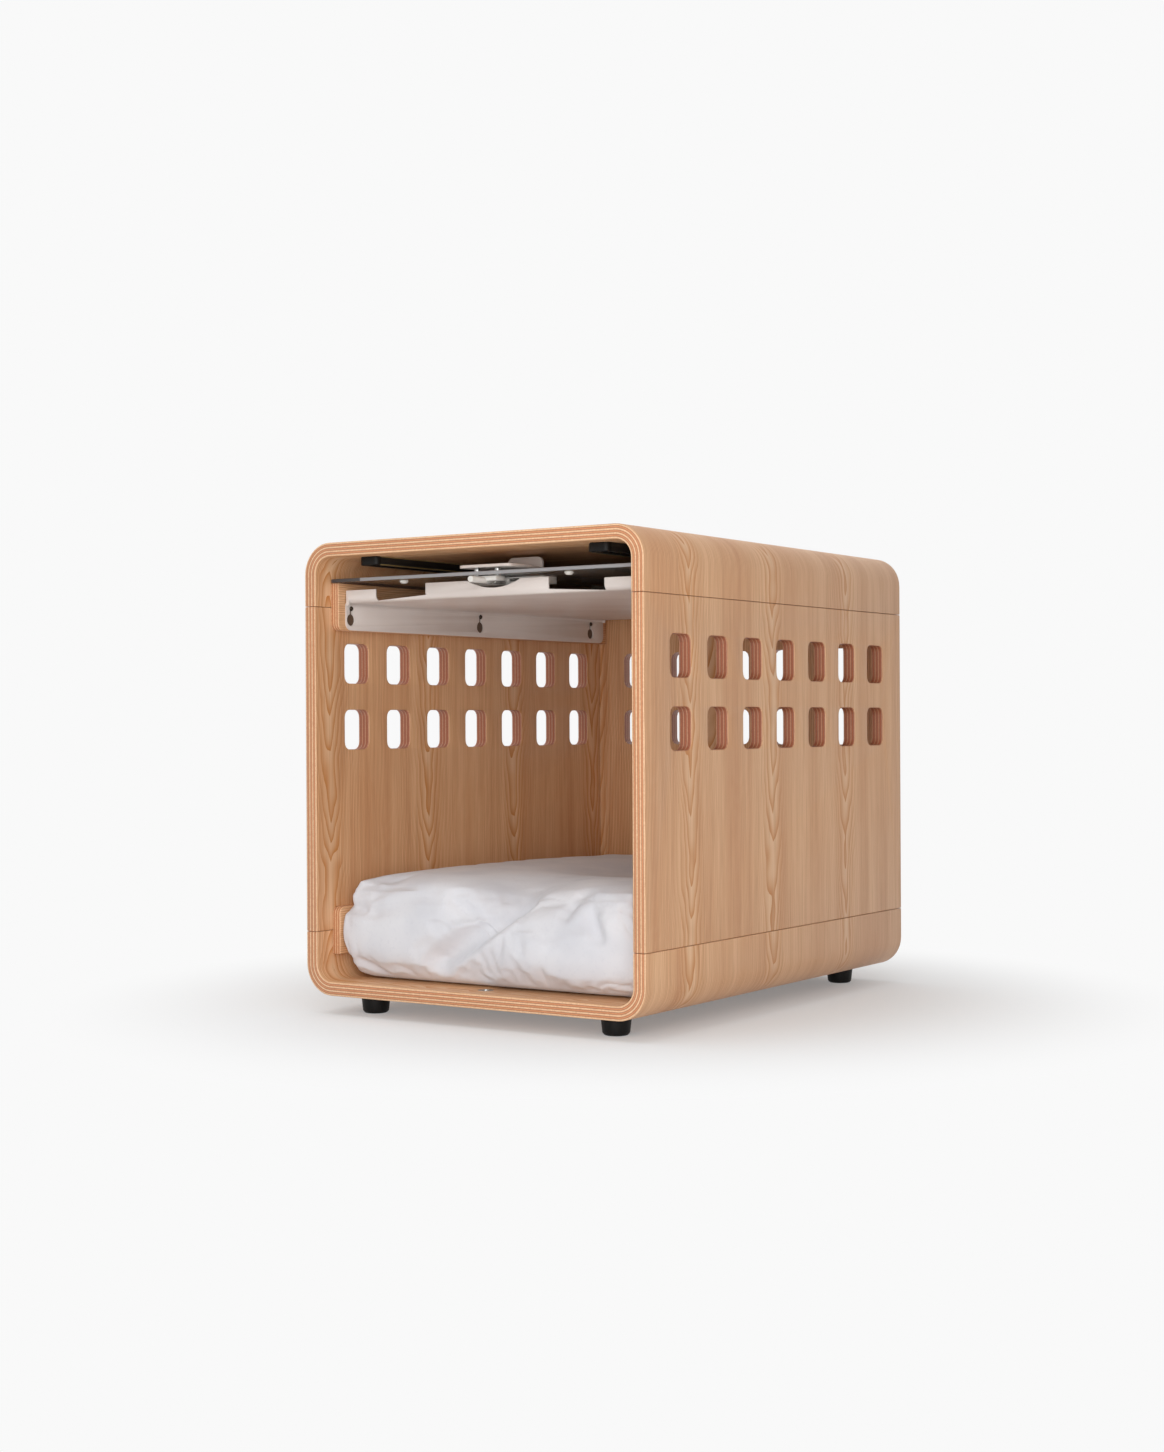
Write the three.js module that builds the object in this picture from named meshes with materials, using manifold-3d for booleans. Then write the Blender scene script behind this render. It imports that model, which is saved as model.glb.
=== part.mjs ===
// Dog crate end table: a bent plywood box on four feet, open at the front, with vent slots,
// a clear gate stowed under its top, the sheet metal tray below the gate, and a floor cushion.
// Millimetres, +Z up. The origin is on the floor under the middle of the box, and the open
// front faces -Y.

import * as THREE from 'three';
import { mergeVertices } from 'three/addons/utils/BufferGeometryUtils.js';
import Module from 'manifold-3d';

const wasm = await Module();
wasm.setup();

// ---- driving dimensions ----------------------------------------------------------------

const fit = 0.3; // clearance between pieces that pass into or around each other
const ease = 0.6; // broken edge on every plywood piece

const box = { width: 464, depth: 620, height: 522, ply: 16, bendRadius: 36 };
const shellLeg = 72.4; // height of a bent shell's side, from the outer face of its board
const seamGap = 0.5;

const slot = { width: 44, height: 47, corner: 9, rows: 2, rowPitch: 78, belowTop: 137.6 };
const sideVents = { columns: 7, pitch: 78.8 };
const backVents = { columns: 5, pitch: 76.5 };
const backPanel = { setBack: 6, gap: 0.4 };

const cleat = { thickness: 12, height: 55, corner: 8, upperSetBack: 27, lowerSetBack: 27 };

const foot = { height: 22, topRadius: 17.3, baseRadius: 15, inset: 66, setBack: 45, edge: 2.4 };
const footScrew = { headRadius: 4.6, headHeight: 3, shankRadius: 2.2, length: 20, recess: 13 };

const tray = {
  sheet: 1.6,
  belowTop: 66, // from the top of the box to the upper face of the tray
  flangeDrop: 33.2,
  bend: 4.5,
  flangeCorner: 9,
  setBack: 38.5,
  rearGap: 10,
  lipBend: 8,
  rearLip: 12,
};
const trayLip = {
  tabHeight: 13,
  centreHeight: 17,
  centreWidth: 170,
  notchWidth: 73,
  notchInnerHeight: 3.6,
  notchOuterHeight: -0.2,
  dipWidth: 74,
  dipDepth: 9,
  dipOffset: 11, // of its middle, to the right of the tray's
};
const keyhole = {
  perSide: 3,
  frontGap: 8.5, // from the end of the tray to the middle of the first hole
  rearGap: 32,
  radius: 7,
  slotWidth: 4,
  rise: 13,
  aboveEdge: 12.2,
};
const hangScrew = { headRadius: 2.9, headHeight: 1.8, shankRadius: 1.5, bite: 9 };

const rail = { fromWall: 58, width: 27, height: 10, wall: 1.5, mouth: 12, setBack: 32, rearGap: 6, stop: 7 };
const carriage = { behindHinge: 13.2, play: 0.4, reach: 5.5, stopGap: 2 };

const gate = { wallGap: 3.5, thickness: 4, corner: 6, setBack: 20, dropFromTop: 40.5, floorGap: 4 };
const hinge = {
  axisAbove: 5,
  knuckle: 4,
  pinRadius: 1.6,
  leaf: 2,
  fromRail: 68, // from the middle of a rail to the inner end of its hinge
  width: 62,
  leafLength: 30,
  edgeGap: 9.5,
};
const gateBolt = { spread: 16, fromEdge: 14, headRadius: 4, headHeight: 2.2, shankRadius: 2 };
const bumper = { radius: 5, height: 4, fromSide: 98.5, setBack: 16 };

const pull = {
  width: 72,
  length: 84,
  sheet: 3.2,
  above: 5.5,
  fromEdge: 14,
  tabWidth: 48,
  tabHeight: 16,
  corner: 7,
};
const latch = { postOffset: 14, postRadius: 3.5, postFromEdge: 22, travel: 10 };
const bolt = { radius: 3.5, reach: 10, plateWidth: 36, plateLength: 16, drop: 5 };
const housing = { width: 106, length: 30, height: 8, sheet: 1.6, fromEdge: 54, holeHeight: 3.6 };
const housingHoles = [
  { x: -36, width: 8 },
  { x: -18, width: 6 },
  { x: 14, width: 14 },
  { x: 38, width: 10 },
];
const guideBar = { width: 61, length: 10, fromEdge: 54 };
const strike = { flange: 9, rim: 1, wall: 1.2, depth: 9 };
const spring = { wire: 0.45, radius: 2.6, turns: 7 };

const panelScrew = { headRadius: 3.6, headDepth: 2.4, shankRadius: 1.8, length: 34, aboveSeam: 18 };

const cushion = {
  sideGap: 0.6, // from the cleats
  frontGap: 26, // from the front edge of the box
  rearGap: 10,
  height: 118,
  bulgeHeight: 39, // where the sides stand out furthest
  tuck: 22, // how far the sides draw in under the cushion
};
// Where the filling has been pushed aside: the hollow an animal leaves, and a fold at the front.
const dents = [
  { x: 60, y: 40, wide: 190, long: 220, depth: 24 },
  { x: 18, y: -262, wide: 74, long: 120, depth: 31 },
  { x: 92, y: -255, wide: 60, long: 70, depth: 10 },
];

// ---- places that follow from them ------------------------------------------------------

const halfWidth = box.width / 2;
const frontY = -box.depth / 2;
const backY = box.depth / 2;
const baseZ = foot.height;
const topZ = baseZ + box.height;
const floorZ = baseZ + box.ply;
const ceilingZ = topZ - box.ply;
const wallX = halfWidth - box.ply; // inner face of a side
const lowerSeamZ = baseZ + shellLeg;
const upperSeamZ = topZ - shellLeg;
const backFaceY = backY - backPanel.setBack; // outer face of the back panel
const backInnerY = backFaceY - box.ply;
const cleatX = wallX - cleat.thickness; // inner face of a cleat
const trayZ = topZ - tray.belowTop; // upper face of the tray
const trayFrontY = frontY + tray.setBack;
const trayBackY = backInnerY - tray.rearGap;
const gateZ = topZ - gate.dropFromTop; // upper face of the stowed gate
const gateFrontY = frontY + gate.setBack;
const hingeZ = gateZ + hinge.axisAbove;
const hingeY = gateFrontY + (hingeZ - floorZ - gate.floorGap);
const gateBackY = hingeY - hinge.edgeGap;
const railFrontY = frontY + rail.setBack;
const railBackY = backInnerY - rail.rearGap - rail.stop;
const railX = wallX - rail.fromWall; // middle of a slide
const railZ = ceilingZ - rail.height; // lower face of a slide rail
const bracketZ = railZ - carriage.reach; // upper face of a hinge bracket
const pullZ = gateZ + pull.above; // lower face of the pull plate
const boltZ = gateZ - gate.thickness - bolt.drop;
const carriageFrontY = hingeY + carriage.behindHinge;
const carriageBackY = railBackY - fit;
const hingeInnerX = railX - hinge.fromRail;
const slideTravel = carriageFrontY - (railFrontY + carriage.stopGap);
const strikeY = hingeY - slideTravel + (hingeZ - boltZ);
const cushionFrontY = frontY + cushion.frontGap;
const cushionBackY = backInnerY - cushion.rearGap;
const cushionY = (cushionFrontY + cushionBackY) / 2;
const cushionHalfY = (cushionBackY - cushionFrontY) / 2;

// ---- materials -------------------------------------------------------------------------

const veneer = new THREE.MeshStandardMaterial({ color: 0xd9b384, roughness: 0.55, metalness: 0 });
const blackPlastic = new THREE.MeshStandardMaterial({ color: 0x1c1b1a, roughness: 0.5, metalness: 0 });
const whiteCoat = new THREE.MeshStandardMaterial({ color: 0xe9e4dc, roughness: 0.45, metalness: 0.1 });
const blackSteel = new THREE.MeshStandardMaterial({ color: 0x24221f, roughness: 0.35, metalness: 0.8 });
const brightSteel = new THREE.MeshStandardMaterial({ color: 0xb9b7b2, roughness: 0.25, metalness: 0.9 });
const darkScrew = new THREE.MeshStandardMaterial({ color: 0x3a332c, roughness: 0.4, metalness: 0.7 });
const nylon = new THREE.MeshStandardMaterial({ color: 0xcfcac2, roughness: 0.5, metalness: 0 });
const acrylic = new THREE.MeshStandardMaterial({
  color: 0xe8eef0,
  roughness: 0.05,
  metalness: 0,
  transparent: true,
  opacity: 0.35,
});
const softRubber = new THREE.MeshStandardMaterial({ color: 0xd8d6d0, roughness: 0.4, metalness: 0 });
const greyBar = new THREE.MeshStandardMaterial({ color: 0x3d3f49, roughness: 0.5, metalness: 0 });
const cotton = new THREE.MeshStandardMaterial({ color: 0xd3d5dc, roughness: 0.9, metalness: 0 });

// ---- solids, outlines and placing ------------------------------------------------------

const crate = new THREE.Group();

function add(name, geometry, material, x = 0, y = 0, z = 0) {
  const mesh = new THREE.Mesh(geometry, material);
  mesh.name = name;
  mesh.position.set(x, y, z);
  crate.add(mesh);
  return mesh;
}

function solid(geometry) {
  const plain = geometry.clone();
  plain.deleteAttribute('normal');
  plain.deleteAttribute('uv');
  const welded = mergeVertices(plain, 1e-4);
  const vertProperties = Float32Array.from(welded.attributes.position.array);
  const triVerts = Uint32Array.from(welded.index.array);
  return new wasm.Manifold(new wasm.Mesh({ numProp: 3, vertProperties, triVerts }));
}

function geometryOf(body) {
  const { vertProperties, triVerts } = body.getMesh();
  const geometry = new THREE.BufferGeometry();
  geometry.setAttribute('position', new THREE.BufferAttribute(vertProperties, 3));
  geometry.setIndex(new THREE.BufferAttribute(triVerts, 1));
  geometry.computeVertexNormals();
  return geometry;
}

function join(...pieces) {
  return pieces.map(solid).reduce((whole, next) => whole.add(next));
}

function cut(body, ...tools) {
  return tools.map(solid).reduce((whole, tool) => whole.subtract(tool), body);
}

// An outline drawn in (across, up) becomes a slab between two planes of the axis it faces.
// steps is the number of straight stretches in each of its arcs.
const axes = {
  x: new THREE.Matrix4().makeBasis(new THREE.Vector3(0, 1, 0), new THREE.Vector3(0, 0, 1), new THREE.Vector3(1, 0, 0)),
  y: new THREE.Matrix4().makeBasis(new THREE.Vector3(1, 0, 0), new THREE.Vector3(0, 0, 1), new THREE.Vector3(0, -1, 0)),
  z: new THREE.Matrix4(),
};

function slab(shape, axis, from, to, edge = 0, steps = 4) {
  const geometry = new THREE.ExtrudeGeometry(shape, {
    depth: to - from - 2 * edge,
    curveSegments: steps / 2,
    bevelEnabled: edge > 0,
    bevelThickness: edge,
    bevelSize: edge,
    bevelOffset: -edge,
    bevelSegments: 1,
  });
  geometry.translate(0, 0, (axis === 'y' ? -to : from) + edge);
  return geometry.applyMatrix4(axes[axis]);
}

function block(x0, x1, y0, y1, z0, z1) {
  return new THREE.BoxGeometry(x1 - x0, y1 - y0, z1 - z0).translate((x0 + x1) / 2, (y0 + y1) / 2, (z0 + z1) / 2);
}

// A rectangle with a radius at each corner, in the order lower left, lower right, upper right,
// upper left. Path or Shape, so that it serves as an outline or as a hole.
function roundedRect(x0, x1, y0, y1, radii, Kind = THREE.Shape) {
  const [a, b, c, d] = Array.isArray(radii) ? radii : [radii, radii, radii, radii];
  const path = new Kind();
  path.moveTo(x0 + a, y0);
  path.lineTo(x1 - b, y0);
  if (b) path.absarc(x1 - b, y0 + b, b, -Math.PI / 2, 0, false);
  path.lineTo(x1, y1 - c);
  if (c) path.absarc(x1 - c, y1 - c, c, 0, Math.PI / 2, false);
  path.lineTo(x0 + d, y1);
  if (d) path.absarc(x0 + d, y1 - d, d, Math.PI / 2, Math.PI, false);
  path.lineTo(x0, y0 + a);
  if (a) path.absarc(x0 + a, y0 + a, a, Math.PI, 1.5 * Math.PI, false);
  return path;
}

// A turned piece: [radius, height] pairs up the axis, closed on the axis at both ends.
function turned(profile, sides = 16) {
  const points = profile.map(([radius, height]) => new THREE.Vector2(radius, height));
  return new THREE.LatheGeometry(points, sides).rotateX(Math.PI / 2);
}

function rod(radius, length, sides = 16) {
  return turned([[0, 0], [radius, 0], [radius, length], [0, length]], sides);
}

// ---- bent shells -----------------------------------------------------------------------

// A board with two short legs turned down, bent round a generous radius. up is 1 for the
// shell whose legs point up and -1 for the one whose legs point down.
function bentShell(boardZ, up) {
  const outer = box.bendRadius;
  const inner = box.bendRadius - box.ply;
  const legX = halfWidth - outer;
  const shape = new THREE.Shape();
  shape.moveTo(-halfWidth, shellLeg);
  shape.lineTo(-halfWidth, outer);
  shape.absarc(-legX, outer, outer, Math.PI, 1.5 * Math.PI, false);
  shape.lineTo(legX, 0);
  shape.absarc(legX, outer, outer, -Math.PI / 2, 0, false);
  shape.lineTo(halfWidth, shellLeg);
  shape.lineTo(wallX, shellLeg);
  shape.lineTo(wallX, outer);
  shape.absarc(legX, outer, inner, 0, -Math.PI / 2, true);
  shape.lineTo(-legX, box.ply);
  shape.absarc(-legX, outer, inner, 1.5 * Math.PI, Math.PI, true);
  shape.lineTo(-wallX, shellLeg);
  const geometry = slab(shape, 'y', frontY, backY, ease, 10);
  if (up < 0) geometry.rotateY(Math.PI);
  return geometry.translate(0, 0, boardZ);
}

function footPlaces() {
  const places = [];
  for (const [end, endName] of [[-1, 'front'], [1, 'rear']]) {
    for (const [side, sideName] of [[-1, 'left'], [1, 'right']]) {
      const x = side * (halfWidth - foot.inset);
      const y = end * (box.depth / 2 - foot.setBack);
      places.push({ name: `${endName}_${sideName}`, x, y });
    }
  }
  return places;
}

function bottomShell() {
  const pilotTop = footScrew.recess - footScrew.headHeight + footScrew.length + fit;
  const holes = footPlaces().map(({ x, y }) =>
    rod(footScrew.shankRadius + fit, pilotTop - baseZ + 1, 10).translate(x, y, baseZ - 1),
  );
  const rimHole = rod(strike.flange + fit, strike.rim + 1, 16).translate(0, strikeY, floorZ - strike.rim);
  const strikeHole = rod(bolt.radius + strike.wall + 2 * fit, strike.depth + fit, 16);
  strikeHole.translate(0, strikeY, floorZ - strike.depth - fit);
  return geometryOf(cut(solid(bentShell(baseZ, 1)), ...holes, rimHole, strikeHole));
}

add('top_shell', bentShell(topZ, -1), veneer);
add('bottom_shell', bottomShell(), veneer);

// ---- panels with vent slots ------------------------------------------------------------

function ventSlots(vents) {
  const holes = [];
  for (let row = 0; row < slot.rows; row += 1) {
    const z = topZ - slot.belowTop - row * slot.rowPitch;
    for (let column = 0; column < vents.columns; column += 1) {
      const across = (column - (vents.columns - 1) / 2) * vents.pitch;
      const left = across - slot.width / 2;
      const low = z - slot.height / 2;
      holes.push(roundedRect(left, left + slot.width, low, low + slot.height, slot.corner, THREE.Path));
    }
  }
  return holes;
}

function sidePanel(side) {
  const shape = roundedRect(frontY, backY, lowerSeamZ + seamGap, upperSeamZ - seamGap, 0);
  shape.holes = ventSlots(sideVents);
  const near = Math.min(side * wallX, side * halfWidth);
  return slab(shape, 'x', near, near + box.ply, ease);
}

const panelScrewPlaces = [-1, 1].flatMap((side) =>
  [lowerSeamZ, upperSeamZ].map((seamZ) => ({
    x: side * (wallX - cleat.thickness / 2),
    z: seamZ + (seamZ === lowerSeamZ ? 1 : -1) * panelScrew.aboveSeam,
  })),
);

function screwHole(radius, x, y, z, length) {
  return rod(radius, length, 10).rotateX(Math.PI / 2).translate(x, y, z);
}

function backPanelGeometry() {
  const corner = box.bendRadius - box.ply;
  const reach = wallX - backPanel.gap;
  const shape = roundedRect(-reach, reach, floorZ + backPanel.gap, ceilingZ - backPanel.gap, corner);
  shape.holes = ventSlots(backVents);
  const panel = solid(slab(shape, 'y', backInnerY, backFaceY, ease, 3));
  const bores = panelScrewPlaces.flatMap(({ x, z }) => [
    screwHole(panelScrew.shankRadius + fit, x, backFaceY + 1, z, box.ply + 2),
    screwHole(panelScrew.headRadius + fit, x, backFaceY + 1, z, panelScrew.headDepth + fit + 1),
  ]);
  return geometryOf(cut(panel, ...bores));
}

add('left_side_panel', sidePanel(-1), veneer);
add('right_side_panel', sidePanel(1), veneer);
add('back_panel', backPanelGeometry(), veneer);

// ---- cleats that splice each seam ------------------------------------------------------

const keyholeZ = trayZ - tray.flangeDrop + keyhole.aboveEdge; // middle of the large hole
const keyholeTopZ = keyholeZ + keyhole.rise; // middle of the slot's round end
const hangZ = keyholeTopZ + keyhole.slotWidth / 2 - hangScrew.shankRadius - fit;
const keyholeRun = trayBackY - trayFrontY - keyhole.frontGap - keyhole.rearGap;
const keyholeYs = Array.from(
  { length: keyhole.perSide },
  (_, i) => trayFrontY + keyhole.frontGap + (i * keyholeRun) / (keyhole.perSide - 1),
);

function cleatGeometry(side, seamZ) {
  const upper = seamZ === upperSeamZ;
  const start = frontY + (upper ? cleat.upperSetBack : cleat.lowerSetBack);
  const low = seamZ - cleat.height / 2;
  const radii = upper ? [cleat.corner, 0, 0, 0] : [0, 0, 0, cleat.corner];
  const shape = roundedRect(start, backInnerY - fit, low, low + cleat.height, radii);
  const near = Math.min(side * cleatX, side * wallX);
  const body = solid(slab(shape, 'x', near, near + cleat.thickness, ease));
  const bores = panelScrewPlaces
    .filter(({ x, z }) => Math.sign(x) === side && Math.abs(z - seamZ) < cleat.height / 2)
    .map(({ x, z }) =>
      screwHole(panelScrew.shankRadius + fit, x, backInnerY + 1, z, panelScrew.length - box.ply + 2),
    );
  if (upper) {
    const bite = hangScrew.bite + fit;
    for (const y of keyholeYs) {
      const bore = rod(hangScrew.shankRadius + fit, bite + 1, 12).rotateY(side * Math.PI / 2);
      bores.push(bore.translate(side * (cleatX - 1), y, hangZ));
    }
  }
  return geometryOf(cut(body, ...bores));
}

for (const [side, sideName] of [[-1, 'left'], [1, 'right']]) {
  add(`upper_${sideName}_cleat`, cleatGeometry(side, upperSeamZ), veneer);
  add(`lower_${sideName}_cleat`, cleatGeometry(side, lowerSeamZ), veneer);
}

panelScrewPlaces.forEach(({ x, z }, i) => {
  const shank = panelScrew.length;
  const profile = [
    [0, 0],
    [panelScrew.shankRadius, 0],
    [panelScrew.shankRadius, shank - panelScrew.headDepth],
    [panelScrew.headRadius, shank - panelScrew.headDepth],
    [panelScrew.headRadius, shank],
    [0, shank],
  ];
  const screw = turned(profile, 10).rotateX(-Math.PI / 2);
  add(`back_panel_screw_${i + 1}`, screw, darkScrew, x, backFaceY - shank, z);
});

// ---- gate tray -------------------------------------------------------------------------

// A wide hat section in folded sheet: the flange on each side turns down against its cleat.
function traySection() {
  const reach = cleatX;
  const low = trayZ - tray.flangeDrop;
  const centre = reach - tray.bend;
  const bendZ = trayZ - tray.bend;
  const inner = tray.bend - tray.sheet;
  const shape = new THREE.Shape();
  shape.moveTo(-reach, low);
  shape.lineTo(-reach + tray.sheet, low);
  shape.lineTo(-reach + tray.sheet, bendZ);
  shape.absarc(-centre, bendZ, inner, Math.PI, Math.PI / 2, true);
  shape.lineTo(centre, trayZ - tray.sheet);
  shape.absarc(centre, bendZ, inner, Math.PI / 2, 0, true);
  shape.lineTo(reach - tray.sheet, low);
  shape.lineTo(reach, low);
  shape.lineTo(reach, bendZ);
  shape.absarc(centre, bendZ, tray.bend, 0, Math.PI / 2, false);
  shape.lineTo(-centre, trayZ);
  shape.absarc(-centre, bendZ, tray.bend, Math.PI / 2, Math.PI, false);
  return shape;
}

// The upturned lip seen from its end: a quarter bend and a flat, in (y, z). turn is 1 for the
// front lip and -1 for the rear one.
function lipSection(edgeY, turn, height) {
  const outer = tray.lipBend;
  const inner = outer - tray.sheet;
  const y = edgeY + turn * outer;
  const z = trayZ - tray.sheet + outer;
  const shape = new THREE.Shape();
  const away = turn > 0 ? Math.PI : 0;
  shape.moveTo(y, trayZ - tray.sheet);
  shape.absarc(y, z, outer, -Math.PI / 2, turn > 0 ? -Math.PI : 0, turn > 0);
  shape.lineTo(edgeY, trayZ + height);
  shape.lineTo(edgeY + turn * tray.sheet, trayZ + height);
  shape.lineTo(edgeY + turn * tray.sheet, z);
  shape.absarc(y, z, inner, away, turn > 0 ? 1.5 * Math.PI : -Math.PI / 2, turn < 0);
  return shape;
}

function notchCutter(side) {
  const from = trayLip.centreWidth / 2;
  const to = from + trayLip.notchWidth;
  const shape = new THREE.Shape();
  shape.moveTo(side * from, trayZ + trayLip.notchInnerHeight);
  shape.lineTo(side * to, trayZ + trayLip.notchOuterHeight);
  shape.lineTo(side * to, trayZ + 2 * trayLip.centreHeight);
  shape.lineTo(side * from, trayZ + 2 * trayLip.centreHeight);
  return slab(shape, 'y', trayFrontY - 1, trayFrontY + tray.lipBend);
}

function keyholeCutters(side) {
  const near = Math.min(side * (cleatX - tray.sheet), side * cleatX) - 1;
  return keyholeYs.flatMap((y) => {
    const round = new THREE.Shape().absarc(y, keyholeZ, keyhole.radius, 0, 2 * Math.PI);
    const half = keyhole.slotWidth / 2;
    const neck = roundedRect(y - half, y + half, keyholeZ, keyholeTopZ + half, [0, 0, half, half]);
    const far = near + tray.sheet + 2;
    return [slab(round, 'x', near, far, 0, 20), slab(neck, 'x', near, far, 0, 4)];
  });
}

function flangeCornerCutter(end) {
  const r = tray.flangeCorner;
  const low = trayZ - tray.flangeDrop;
  const edge = end < 0 ? trayFrontY : trayBackY;
  const shape = new THREE.Shape();
  shape.moveTo(edge, low + r);
  shape.absarc(edge - end * r, low + r, r, end < 0 ? Math.PI : 0, end < 0 ? 1.5 * Math.PI : -Math.PI / 2, end > 0);
  shape.lineTo(edge - end * r, low - 1);
  shape.lineTo(edge + end, low - 1);
  shape.lineTo(edge + end, low + r);
  return slab(shape, 'x', -cleatX - 1, cleatX + 1, 0, 4);
}

function dipCutter() {
  const half = trayLip.dipWidth / 2;
  const depth = trayLip.dipDepth;
  const radius = (half * half + depth * depth) / (2 * depth);
  const shape = new THREE.Shape();
  const spread = Math.asin(half / radius);
  const z = trayZ + trayLip.centreHeight - depth + radius;
  shape.absarc(0, z, radius, -Math.PI / 2 - spread, -Math.PI / 2 + spread, false);
  const dip = slab(shape, 'y', trayFrontY - 1, trayFrontY + tray.sheet + 1, 0, 14);
  return dip.translate(trayLip.dipOffset, 0, 0);
}

function trayGeometry() {
  const lipReach = cleatX - tray.bend;
  const lipX = cleatX - tray.sheet;
  const low = trayZ - tray.sheet;
  const hat = slab(traySection(), 'y', trayFrontY, trayBackY, 0, 4);
  const frontStrip = block(-lipReach, lipReach, trayFrontY - 1, trayFrontY + tray.lipBend, low - 1, trayZ + 1);
  const rearStrip = block(-lipReach, lipReach, trayBackY - tray.lipBend, trayBackY + 1, low - 1, trayZ + 1);
  const frontLip = slab(lipSection(trayFrontY, 1, trayLip.centreHeight), 'x', -lipReach, lipReach, 0, 5);
  const rearLip = slab(lipSection(trayBackY, -1, tray.rearLip), 'x', -lipReach, lipReach, 0, 4);
  const corners = [-1, 1].flatMap((side) => {
    const near = Math.min(side * (lipReach - 1), side * lipX);
    const far = near + tray.bend - tray.sheet + 1;
    const foot = trayZ - tray.bend;
    return [
      block(near, far, trayFrontY, trayFrontY + tray.sheet, foot, trayZ + trayLip.tabHeight),
      block(near, far, trayBackY - tray.sheet, trayBackY, foot, trayZ + tray.rearLip),
    ];
  });
  const folded = cut(solid(hat), frontStrip, rearStrip).add(join(frontLip, rearLip, ...corners));
  const tabCutters = [-1, 1].map((side) => {
    const from = trayLip.centreWidth / 2 + trayLip.notchWidth - 1;
    const near = Math.min(side * from, side * (cleatX + 1));
    const far = near + cleatX + 1 - from;
    const tabTop = trayZ + trayLip.tabHeight;
    const top = tabTop + trayLip.centreHeight;
    return block(near, far, trayFrontY - 1, trayFrontY + tray.lipBend, tabTop, top);
  });
  const lipCutters = [...tabCutters, notchCutter(-1), notchCutter(1), dipCutter()];
  const flangeCutters = [-1, 1].flatMap((side) => [flangeCornerCutter(side), ...keyholeCutters(side)]);
  return geometryOf(cut(folded, ...lipCutters, ...flangeCutters));
}

add('gate_tray', trayGeometry(), whiteCoat);

for (const [side, sideName] of [[-1, 'left'], [1, 'right']]) {
  keyholeYs.forEach((y, i) => {
    const { headRadius, headHeight, shankRadius, bite } = hangScrew;
    const through = tray.sheet + fit;
    const profile = [
      [0, 0],
      [headRadius * 0.7, 0],
      [headRadius, headHeight * 0.55],
      [headRadius, headHeight],
      [shankRadius, headHeight],
      [shankRadius, headHeight + through + bite],
      [0, headHeight + through + bite],
    ];
    const screw = turned(profile, 10).rotateY(side * Math.PI / 2);
    add(`tray_screw_${sideName}_${i + 1}`, screw, darkScrew, side * (cleatX - through - headHeight), y, hangZ);
  });
}

// ---- feet ------------------------------------------------------------------------------

function footGeometry() {
  const { height, topRadius, baseRadius, edge } = foot;
  const bore = footScrew.shankRadius + fit;
  const well = footScrew.headRadius + fit;
  const floor = footScrew.recess;
  return turned(
    [
      [well, 0],
      [baseRadius - edge, 0],
      [baseRadius, edge],
      [topRadius, height],
      [bore, height],
      [bore, floor],
      [well, floor],
      [well, 0],
    ],
    20,
  );
}

function footScrewGeometry() {
  const { headRadius, headHeight, shankRadius, length } = footScrew;
  return turned(
    [
      [0, 0],
      [headRadius * 0.75, 0],
      [headRadius, headHeight * 0.5],
      [headRadius, headHeight],
      [shankRadius, headHeight],
      [shankRadius, length],
      [0, length],
    ],
    10,
  );
}

for (const { name, x, y } of footPlaces()) {
  add(`foot_${name}`, footGeometry(), blackPlastic, x, y, 0);
  add(`foot_screw_${name}`, footScrewGeometry(), darkScrew, x, y, footScrew.recess - footScrew.headHeight - fit);
}

// ---- slide rails and carriages ---------------------------------------------------------

function railSection() {
  const half = rail.width / 2;
  const mouth = rail.mouth / 2;
  const { wall, height } = rail;
  const shape = new THREE.Shape();
  shape.moveTo(-half, 0);
  shape.lineTo(-mouth, 0);
  shape.lineTo(-mouth, wall);
  shape.lineTo(-half + wall, wall);
  shape.lineTo(-half + wall, height - wall);
  shape.lineTo(half - wall, height - wall);
  shape.lineTo(half - wall, wall);
  shape.lineTo(mouth, wall);
  shape.lineTo(mouth, 0);
  shape.lineTo(half, 0);
  shape.lineTo(half, height);
  shape.lineTo(-half, height);
  return shape;
}

function stopGeometry(turn) {
  const half = rail.width / 2;
  const nose = 6;
  const radii = turn < 0 ? [nose, nose, 0, 0] : [0, 0, nose, nose];
  const shape = roundedRect(-half, half, -rail.stop / 2, rail.stop / 2, radii);
  return slab(shape, 'z', 0, rail.height, 0.8, 3);
}

function carriageGeometry() {
  const half = rail.width / 2 - rail.wall - carriage.play;
  const neck = rail.mouth / 2 - carriage.play;
  const low = rail.wall + carriage.play;
  const high = rail.height - rail.wall - carriage.play;
  const shape = new THREE.Shape();
  shape.moveTo(-neck, -carriage.reach);
  shape.lineTo(neck, -carriage.reach);
  shape.lineTo(neck, low);
  shape.lineTo(half, low);
  shape.lineTo(half, high);
  shape.lineTo(-half, high);
  shape.lineTo(-half, low);
  shape.lineTo(-neck, low);
  return slab(shape, 'y', carriageFrontY, carriageBackY);
}

for (const [side, sideName] of [[-1, 'left'], [1, 'right']]) {
  const x = side * railX;
  add(`slide_rail_${sideName}`, slab(railSection(), 'y', railFrontY, railBackY), blackSteel, x, 0, railZ);
  add(`slide_nose_${sideName}`, stopGeometry(-1), blackPlastic, x, railFrontY - rail.stop / 2, railZ);
  add(`slide_tail_${sideName}`, stopGeometry(1), blackPlastic, x, railBackY + rail.stop / 2, railZ);
  add(`slide_carriage_${sideName}`, carriageGeometry(), nylon, x, 0, railZ);
}

// ---- hinges between the carriages and the gate -----------------------------------------

const knuckleWidth = hinge.width * 0.29;

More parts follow.
